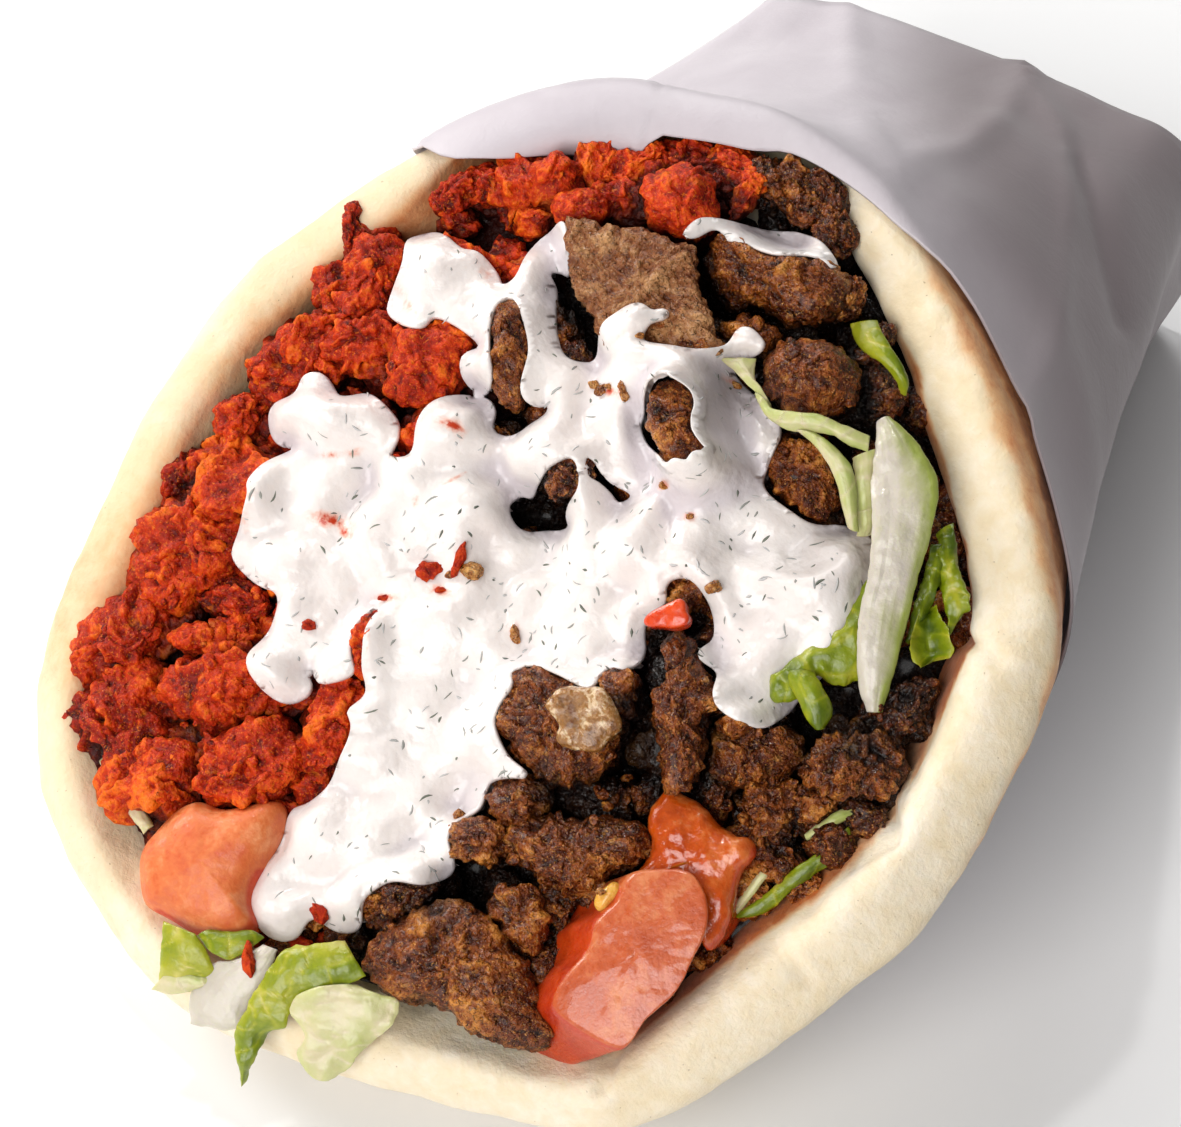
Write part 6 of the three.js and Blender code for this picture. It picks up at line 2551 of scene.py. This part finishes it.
@dataclass(frozen=True)
class LeafFinish:
    """Lettuce: greener towards its frilled edge, with veins, and a little see-through."""

    name: str
    shades: Shades  # from the palest to the greenest
    wet: float

    def make(self) -> bpy.types.Material:
        """Builds the finish.

        Returns:
            The material.
        """
        finish = Finish(self.name, Subsurface_Weight=0.25, Subsurface_Radius=(0.7, 1.0, 0.3),
                        Subsurface_Scale=0.0012, Coat_Weight=self.wet, Coat_Roughness=0.15,
                        Roughness=0.36)
        graph = finish.graph
        vein = graph.mark("vein")
        green = graph.total((graph.mark("green"), 1.0), (finish.mottle(3.5, 1.4), 0.3),
                            (finish.mottle(0.8, 1.6), 0.14), (vein, -0.35), start=-0.2,
                            clamp=True)
        finish.set("Base Color", graph.ramp(green, self.shades))
        height = graph.total((graph.noise(0.9, 3.0), 1.0), (vein, 0.8))
        finish.set("Normal", graph.bump(height, 0.14))
        return finish.material


class LeafKind(Enum):
    """Kinds of lettuce, each with its finish."""

    GREEN = LeafFinish(
        "lettuce_green", ((0.05, "CABE62"), (0.35, "A4A420"), (0.65, "7A8806"), (0.95, "445802")),
        0.1)
    PALE = LeafFinish("lettuce_pale", ((0.1, "D2C6A0"), (0.5, "BABC78"), (0.9, "8CA238")), 0.15)
    RIB = LeafFinish("lettuce_rib", ((0.1, "C8BFB0"), (0.4, "B4B08C"), (0.75, "949E48")), 0.3)


@dataclass(frozen=True)
class Leaf:
    """A strip of leaf between two edges.

    The edges are in the picture, each point with its height over the mouth, and both have as
    many points. The strip runs from their first points to their last.
    """

    name: str
    nodes: tuple[str, ...]
    kind: LeafKind
    left: tuple[tuple[float, float, float], ...]
    right: tuple[tuple[float, float, float], ...]
    green: tuple[float, float, float]  # at its left edge, middle and right edge
    thickness: float
    bow: float  # how far its middle stands up
    ruffle: float
    frill: float  # length of its ruffles
    seed: int

    COLUMNS = 18

    def shape(self, noise: Noise) -> Shape:
        """Makes the strip's shape.

        Args:
            noise: where its ruffles come from.

        Returns:
            The shape, marked with its green and its veins.
        """
        rows = 12 * len(self.left)
        left, right = (smooth_path(VIEW.on_mouth(edge[:, :2], edge[:, 2]), rows)
                       for edge in (np.array(self.left), np.array(self.right)))
        across = (1 - np.cos(np.linspace(0, math.pi, self.COLUMNS))) / 2
        share = np.broadcast_to(across, (rows, self.COLUMNS))
        flat = blend(left[:, None], right[:, None], across[None, :, None])
        along, side = unit(np.gradient(flat, axis=0)), unit(np.gradient(flat, axis=1))
        face = unit(np.cross(side, along))
        face = np.where(face[..., 2:] < 0, -face, face)
        out = np.abs(2 * share - 1)
        lift, nibble = self._ruffles(flat, out, noise)
        spine = flat + face * lift[..., None] + side * (nibble * np.sign(share - 0.5))[..., None]
        ends = np.clip(np.sin(np.linspace(0.02, math.pi - 0.02, rows)), 0, 0.4) / 0.4
        half = self.thickness / 2 * np.maximum(0.12, np.sqrt(1 - out**8))
        half = face * (half * np.sqrt(ends)[:, None])[..., None]
        ring = np.concatenate([spine + half, (spine - half)[:, ::-1]], axis=1)
        shape = Shape.capped(Mouth.point(ring))
        tone = np.interp(share, [0, 0.5, 1], self.green) + 0.25 * noise.smooth(flat / 5 + 3)
        for key, values in (("green", tone), ("vein", self._veins(flat, share, noise))):
            shape.mark_rings(key, np.concatenate([values, values[:, ::-1]], axis=1), "edge")
        return shape

    def _ruffles(self, flat: np.ndarray, out: np.ndarray,
                 noise: Noise) -> tuple[np.ndarray, np.ndarray]:
        """How the strip waves.

        Args:
            flat: its places before it is ruffled.
            out: how far each lies from its middle line, from 0 to 1 at an edge.
            noise: where the waves come from.

        Returns:
            How far each place is lifted, and how far it is moved out.
        """
        wave = noise.smooth(flat / self.frill + self.seed * 7.3)
        fine = noise.smooth(flat / (self.frill * 0.45) + 31)
        lift = self.bow * (1 - out**2) + self.ruffle * (0.35 + 0.65 * out**1.5) * wave
        nibble = 0.25 * self.ruffle * noise.layered(flat / 1.6 + self.seed) * out**6
        return lift + 0.3 * self.ruffle * fine, nibble

    def _veins(self, flat: np.ndarray, share: np.ndarray, noise: Noise) -> np.ndarray:
        """How strongly veins show.

        Args:
            flat: places on the strip before it is ruffled.
            share: how far to the right each lies, from 0 to 1.
            noise: where the net comes from.

        Returns:
            The strength at each place.
        """
        if self.kind is LeafKind.RIB:
            run = np.stack([share * 9, flat[..., 1] / 18, 0 * share], axis=-1)
            return 1.2 * np.abs(noise.smooth(run))
        net = bell(np.abs(noise.smooth(flat / 3.2 + 9)) / 0.1) * 0.7
        return net + 0.6 * bell((share - 0.5) / 0.05)


LEAVES = (
    Leaf("lettuce_rib_strip", ("lettuce_rib",), LeafKind.RIB,
         ((877, 421, 8), (875, 451, 8.6), (871, 484, 9), (872, 508, 9.4), (871, 544, 9.4),
          (868, 577, 9), (861, 604, 8.6), (857, 645, 8.2), (857, 673, 7.6), (861, 695, 7),
          (867, 712, 6.4)),
         ((890, 417, 7.6), (912, 436, 8), (934, 470, 8), (938, 492, 8.2), (934, 518, 8.2),
          (927, 549, 8), (918, 578, 7.8), (908, 618, 7.4), (899, 655, 7), (888, 693, 6.4),
          (882, 712, 6)),
         (0.05, 0.25, 0.95), 0.8, 0.45, 0.5, 3.6, 1),
    Leaf("lettuce_curl_strip", ("lettuce_curl",), LeafKind.PALE,
         ((720, 360, 9.0), (736, 372, 9.6), (752, 388, 10.2), (771, 408, 10.6), (792, 411, 11),
          (818, 414, 11), (842, 424, 10.4), (870, 436, 9.4)),
         ((756, 359, 8.4), (755, 380, 9), (762, 398, 9.6), (784, 428, 10.0), (812, 432, 10),
          (836, 436, 9.8), (850, 446, 9.4), (868, 452, 8.8)),
         (0.5, 0.35, 0.55), 0.6, 0.5, 0.4, 3.0, 2),
    Leaf("lettuce_strand", (), LeafKind.PALE,
         ((796, 430, 10.6), (812, 443, 10.4), (828, 464, 10), (837, 486, 9.4), (842, 508, 8.6),
          (848, 528, 7.6)),
         ((815, 432, 10.4), (832, 444, 10), (850, 464, 9.6), (856, 484, 9), (857, 508, 8.4),
          (859, 532, 7.4)),
         (0.3, 0.4, 0.6), 0.6, 0.5, 0.25, 3.0, 3),
    Leaf("lettuce_fold", (), LeafKind.PALE,
         ((852, 458, 8), (855, 478, 8), (857, 500, 7.6), (858, 522, 6.6), (856, 536, 5.6)),
         ((878, 449, 7.6), (876, 470, 7.6), (876, 492, 7), (876, 515, 6), (874, 534, 5)),
         (0.45, 0.4, 0.35), 0.6, 0.6, 0.5, 3.0, 4),
    Leaf("lettuce_top_strip", ("lettuce_top",), LeafKind.GREEN,
         ((850, 326, 3), (856, 342, 4), (866, 354, 4.4), (882, 364, 4.4), (897, 382, 4),
          (902, 396, 3)),
         ((878, 322, 3), (884, 336, 4), (894, 352, 4.6), (904, 366, 4.4), (908, 378, 3.6),
          (905, 394, 2.6)),
         (0.45, 0.6, 0.8), 0.6, 0.5, 0.4, 3.0, 5),
    Leaf("lettuce_front_leaf", ("lettuce_front",), LeafKind.GREEN,
         ((874, 566, 6.6), (862, 588, 7.2), (852, 608, 7.6), (840, 628, 8), (822, 640, 8),
          (804, 650, 8.2), (788, 664, 8.6), (771, 676, 8.4), (768, 692, 8)),
         ((878, 600, 6.6), (872, 640, 6.4), (866, 672, 6.2), (852, 684, 6.4), (832, 684, 7.2),
          (818, 676, 7.8), (812, 684, 8), (796, 700, 8), (776, 704, 7.6)),
         (0.62, 0.85, 0.68), 0.7, 0.9, 1.0, 2.8, 6),
    Leaf("lettuce_front_horn", (), LeafKind.GREEN,
         ((786, 672, 9), (792, 690, 9.2), (800, 704, 9), (806, 716, 8.6), (814, 727, 8)),
         ((814, 672, 9), (822, 686, 9.2), (830, 700, 9), (832, 714, 8.6), (826, 728, 8)),
         (0.6, 0.8, 0.6), 0.7, 1.0, 0.5, 3.0, 7),
    Leaf("lettuce_right_strip", ("lettuce_right",), LeafKind.GREEN,
         ((930, 545, 4), (924, 575, 4.4), (916, 600, 4.6), (908, 628, 4.4), (904, 640, 4)),
         ((944, 548, 3.4), (942, 575, 4), (934, 600, 4), (920, 626, 4), (908, 644, 3.6)),
         (0.8, 0.7, 0.85), 0.6, 0.5, 1.0, 2.6, 8),
    Leaf("lettuce_right_back", (), LeafKind.GREEN,
         ((936, 532, 3.6), (938, 560, 4), (940, 584, 4.2), (946, 612, 4.2), (948, 636, 3.6)),
         ((954, 524, 3.2), (956, 548, 3.6), (962, 576, 4), (971, 598, 4), (962, 612, 3.6)),
         (0.7, 0.55, 0.8), 0.6, 0.4, 1.1, 2.4, 9),
    Leaf("lettuce_right_cup", (), LeafKind.GREEN,
         ((920, 612, 5), (914, 628, 5.4), (911, 645, 5.6), (913, 660, 5.6), (921, 668, 5.2)),
         ((937, 603, 4.4), (942, 618, 4.6), (950, 637, 4.8), (954, 648, 4.8), (948, 656, 4.6)),
         (0.4, 0.95, 0.45), 0.7, -1.9, 1.0, 2.4, 10),
    Leaf("lettuce_low_strip", ("lettuce_low",), LeafKind.GREEN,
         ((734, 913, 4.4), (752, 903, 5), (774, 886, 5.4), (796, 868, 5.6), (818, 852, 5.4),
          (848, 826, 4.6)),
         ((742, 918, 4), (766, 912, 4.2), (786, 895, 4.4), (808, 880, 4.4), (832, 862, 4.2),
          (852, 850, 3.6)),
         (0.5, 0.85, 0.7), 0.6, 0.5, 0.6, 2.8, 11),
    Leaf("lettuce_low_rim", ("lettuce_low_pale",), LeafKind.PALE,
         ((804, 834, 5), (818, 824, 5.4), (834, 813, 5.6), (852, 806, 5)),
         ((808, 842, 4.6), (824, 834, 4.8), (842, 822, 5), (856, 818, 4.4)),
         (0.5, 0.6, 0.5), 0.6, 0.3, 0.3, 2.6, 12),
    Leaf("lettuce_low_stalk", (), LeafKind.PALE,
         ((731, 908, 5), (744, 892, 5.8), (757, 875, 6.2), (766, 864, 6)),
         ((738, 914, 4.6), (751, 898, 5.2), (763, 881, 5.6), (772, 869, 5.4)),
         (0.2, 0.25, 0.2), 0.8, 0.3, 0.2, 3.0, 13),
    Leaf("lettuce_lip_leaf", ("lettuce_lip_green",), LeafKind.GREEN,
         ((344, 940, 11), (308, 945, 11.4), (287, 948, 11.4), (271, 968, 11), (253, 995, 10.4),
          (243, 1014, 10), (235, 1030, 9.4), (234, 1044, 8.6), (238, 1062, 7.6), (242, 1084, 6)),
         ((366, 976, 11), (345, 985, 11), (318, 990, 11), (300, 996, 10.6), (291, 1011, 10),
          (286, 1026, 9.4), (270, 1033, 8.8), (262, 1045, 8.2), (252, 1064, 7.4), (244, 1084, 6)),
         (0.35, 0.6, 0.55), 0.7, 0.6, 0.8, 3.6, 14),
    Leaf("lettuce_lip_scrap", ("lettuce_lip_pale",), LeafKind.PALE,
         ((324, 986, 11.4), (303, 992, 11.6), (292, 1003, 11), (291, 1014, 10.6),
          (300, 1025, 10.2), (306, 1036, 9.6), (299, 1048, 9), (298, 1060, 8.4), (312, 1077, 7.6)),
         ((356, 984, 11), (381, 995, 10.8), (398, 1001, 10.4), (395, 1020, 10), (386, 1031, 9.6),
          (370, 1044, 9), (357, 1056, 8.4), (349, 1068, 8), (328, 1082, 7.4)),
         (0.3, 0.25, 0.35), 0.6, 0.5, 0.7, 3.6, 15),
    Leaf("lettuce_lip_corner", ("lettuce_lip_yellow",), LeafKind.GREEN,
         ((164, 921, 11), (161, 940, 11), (160, 958, 10.4), (159, 976, 9.6), (158, 990, 9)),
         ((196, 934, 11), (206, 950, 11), (213, 965, 10.4), (212, 975, 9.6), (190, 992, 9)),
         (0.35, 0.3, 0.45), 0.6, 0.4, 0.5, 3.0, 16),
    Leaf("lettuce_lip_dark", (), LeafKind.GREEN,
         ((196, 936, 10.6), (206, 948, 10.8), (216, 955, 10.8), (228, 960, 10.6), (242, 954, 10)),
         ((214, 930, 10), (226, 932, 10), (238, 932, 10), (252, 930, 10), (264, 938, 9.6)),
         (0.7, 0.6, 0.75), 0.6, 0.5, 0.4, 3.0, 17),
    Leaf("lettuce_lip_white", (), LeafKind.RIB,
         ((262, 944, 10), (240, 958, 10.2), (216, 962, 10), (200, 978, 9.6), (190, 995, 9),
          (191, 1023, 8)),
         ((278, 950, 10), (272, 966, 10), (262, 982, 9.8), (250, 1000, 9.4), (236, 1028, 8.4),
          (208, 1024, 7.8)),
         (0.1, 0.05, 0.1), 0.7, 0.4, 0.5, 4.0, 18),
    Leaf("lettuce_left_shred", (), LeafKind.PALE,
         ((100, 762, 4.0), (108, 780, 5.0), (119, 800, 6.0), (133, 820, 7.0), (144, 834, 7.6)),
         ((112, 756, 4.0), (122, 776, 5.0), (133, 794, 6.0), (146, 812, 7.0), (154, 826, 7.6)),
         (0.1, 0.2, 0.3), 0.8, 0.4, 0.6, 2.6, 20),
    Leaf("lettuce_lip_band", (), LeafKind.PALE,
         ((168, 971, 10), (186, 973, 10), (204, 977, 9.8), (222, 974, 9.6)),
         ((152, 989, 9), (172, 994, 9), (192, 990, 9), (214, 982, 9)),
         (0.5, 0.3, 0.45), 0.6, 0.3, 0.4, 3.0, 19),
)


@dataclass(frozen=True)
class Salad:
    """The tomato, peppers, onion and lettuce."""

    seed: int = 61

    def build(self) -> list[Shape]:
        """Makes every piece, with its finish.

        Returns:
            The pieces' shapes.
        """
        noise = Noise(self.seed)
        kinds = dict.fromkeys([*(cut.finish for cut in CUT_PIECES), *(k.value for k in LeafKind)])
        made = {kind.name: kind.make() for kind in kinds}
        shapes = []
        for cut in CUT_PIECES:
            node = cut.piece.name
            shapes.append(cut.shape(noise))
            shapes[-1].make(node + "_piece", made[cut.finish.name], cut.slot, [node])
        for leaf in LEAVES:
            slot = "lettuce_rib" if leaf.kind is LeafKind.RIB else "lettuce"
            shapes.append(leaf.shape(noise))
            shapes[-1].make(leaf.name, made[leaf.kind.value.name], slot, leaf.nodes)
        return shapes


# ---- Bits on the sauce --------------------------------------------------------------------------

# A bit's pixel, its half length and half width in pixels, its turn in degrees and how far it
# stands out of the sauce in millimetres.
RED_BITS = [
    (430, 570, 13, 9, 0, 0.8), (459, 562, 18, 5, -70, 0.6), (310, 625, 7, 6, 0, 0.7),
    (440, 590, 5, 4, 0, 0.3), (322, 914, 12, 7, 50, 0.9), (385, 598, 7, 3, 0, 0.3),
    (250, 960, 18, 6, 80, 0.8), (300, 943, 14, 6, 10, 0.6), (320, 938, 12, 6, -20, 0.6),
    (470, 1035, 14, 4, 30, 0.5),
]
BROWN_BITS = [
    (474, 572, 12, 9, 20, 0.9), (595, 385, 6, 4, 20, 0.4), (602, 390, 8, 5, -40, 0.5),
    (609, 387, 5, 3, 0, 0.4), (622, 387, 6, 4, 60, 0.4), (625, 395, 7, 4, 80, 0.5),
    (664, 485, 5, 4, 0, 0.4), (690, 517, 4, 3, 0, 0.3), (515, 635, 10, 5, 80, 0.5),
    (715, 588, 8, 7, 0, 0.8), (460, 815, 6, 5, 0, 0.6), (450, 575, 6, 4, 0, 0.3),
    (602, 892, 5, 4, 0, 0.6), (735, 385, 9, 3, 30, 0.3), (640, 336, 5, 3, 0, 0.3),
]


@dataclass(frozen=True)
class Bits:
    """Crumbs of meat caught in the sauce, and red shreds lying about."""

    butcher: Butcher
    shapes: Sequence[Shape]  # what they lie on

    def build(self) -> None:
        """Makes the bits, with their finishes."""
        surface = Surface(self.shapes)
        for name, meat, finish, rows, seed in (
                ("red_bits", Meat.CHICKEN, CHICKEN_BIT_FINISH, RED_BITS, 70),
                ("brown_bits", Meat.BEEF, BEEF_BIT_FINISH, BROWN_BITS, 90)):
            lumps = []
            for i, (x, y, *size, turn, rise) in enumerate(rows):
                spot = surface.seen(x, y)
                if spot is None:
                    continue
                a, b, h = Mouth.place(spot[0])
                long, wide = (pixels * VIEW.pixel for pixels in size)
                lumps.append(Lump(a, b, h + rise - 0.55 * wide, long, wide, wide, 25 - turn,
                                  seed + i))
            self.butcher.cut(meat, lumps, 3).make(name, finish.make(), meat.value)


# ---- Studio -------------------------------------------------------------------------------------


@dataclass(frozen=True)
class SoftLight:
    """A square light that shines at the sandwich: its direction, distance, size and power."""

    name: str
    way: tuple[float, float, float]
    distance: float
    size: float
    power: float
    warmth: tuple[float, float, float] = (1.0, 1.0, 1.0)

    def make(self) -> None:
        """Adds the light."""
        data = bpy.data.lights.new(self.name, "AREA")
        data.size, data.energy, data.color = self.size, self.power, self.warmth
        light = bpy.data.objects.new(self.name, data)
        place = Vector(self.way).normalized() * self.distance
        light.location = place + Vector((0, 0, 0.03))
        light.rotation_euler = place.to_track_quat("Z", "Y").to_euler()
        bpy.context.scene.collection.objects.link(light)


@dataclass(frozen=True)
class Studio:
    """A pale floor, soft lights and the camera. Sizes are in metres."""

    floor: float = 3.0
    world: float = 0.14
    lights: tuple[SoftLight, ...] = (
        SoftLight("left", (-1.6, 0.1, 0.85), 1.0, 0.4, 6.4, (1.0, 0.985, 0.96)),
        SoftLight("front", (0.0, -1.5, 1.0), 1.0, 0.7, 9.0, (1.0, 0.99, 0.98)),
        SoftLight("back", (-0.9, 1.3, 1.2), 1.0, 0.5, 4.0),
        SoftLight("sparkle", (-0.5, 0.3, 1.4), 1.0, 0.05, 1.5),
    )

    def build(self) -> None:
        """Makes the floor, the lights and the camera."""
        self._floor()
        self._sky()
        for light in self.lights:
            light.make()
        VIEW.make()
        settings = bpy.context.scene.view_settings
        settings.view_transform, settings.look = "Standard", "None"

    def _floor(self) -> None:
        """The floor, just under the sandwich."""
        half = self.floor / 2
        mesh = bpy.data.meshes.new("floor")
        corners = [(-half, -half, 0), (half, -half, 0), (half, half, 0), (-half, half, 0)]
        mesh.from_pydata(corners, [], [(0, 1, 2, 3)])
        finish = Finish("floor", Roughness=0.7)
        patches = finish.mottle(60.0, 0.5)
        finish.set("Base Color", finish.graph.ramp(patches, ((0.0, "F4F4F4"), (1.0, "F7F7F7"))))
        mesh.materials.append(finish.material)
        floor = bpy.data.objects.new("floor", mesh)
        floor.location.z = -0.0002
        bpy.context.scene.collection.objects.link(floor)

    def _sky(self) -> None:
        """Even white light from all round."""
        world = bpy.data.worlds.new("studio")
        world.use_nodes = True
        sky = world.node_tree.nodes["Background"]
        sky.inputs["Color"].default_value = (1.0, 1.0, 1.0, 1.0)
        sky.inputs["Strength"].default_value = self.world
        bpy.context.scene.world = world


def main() -> None:
    """Makes the sandwich and the studio."""
    logging.basicConfig(level=logging.INFO, format="%(message)s")
    Studio().build()
    Bread().build()
    Wrap().build()
    butcher = Butcher()
    filling = Filling(butcher)
    filling.build()
    salad = Salad().build()
    sauce = Sauce(Surface(filling.shapes)).build()
    Bits(butcher, [*filling.shapes, *salad, sauce]).build()


if __name__ == "__main__":
    main()
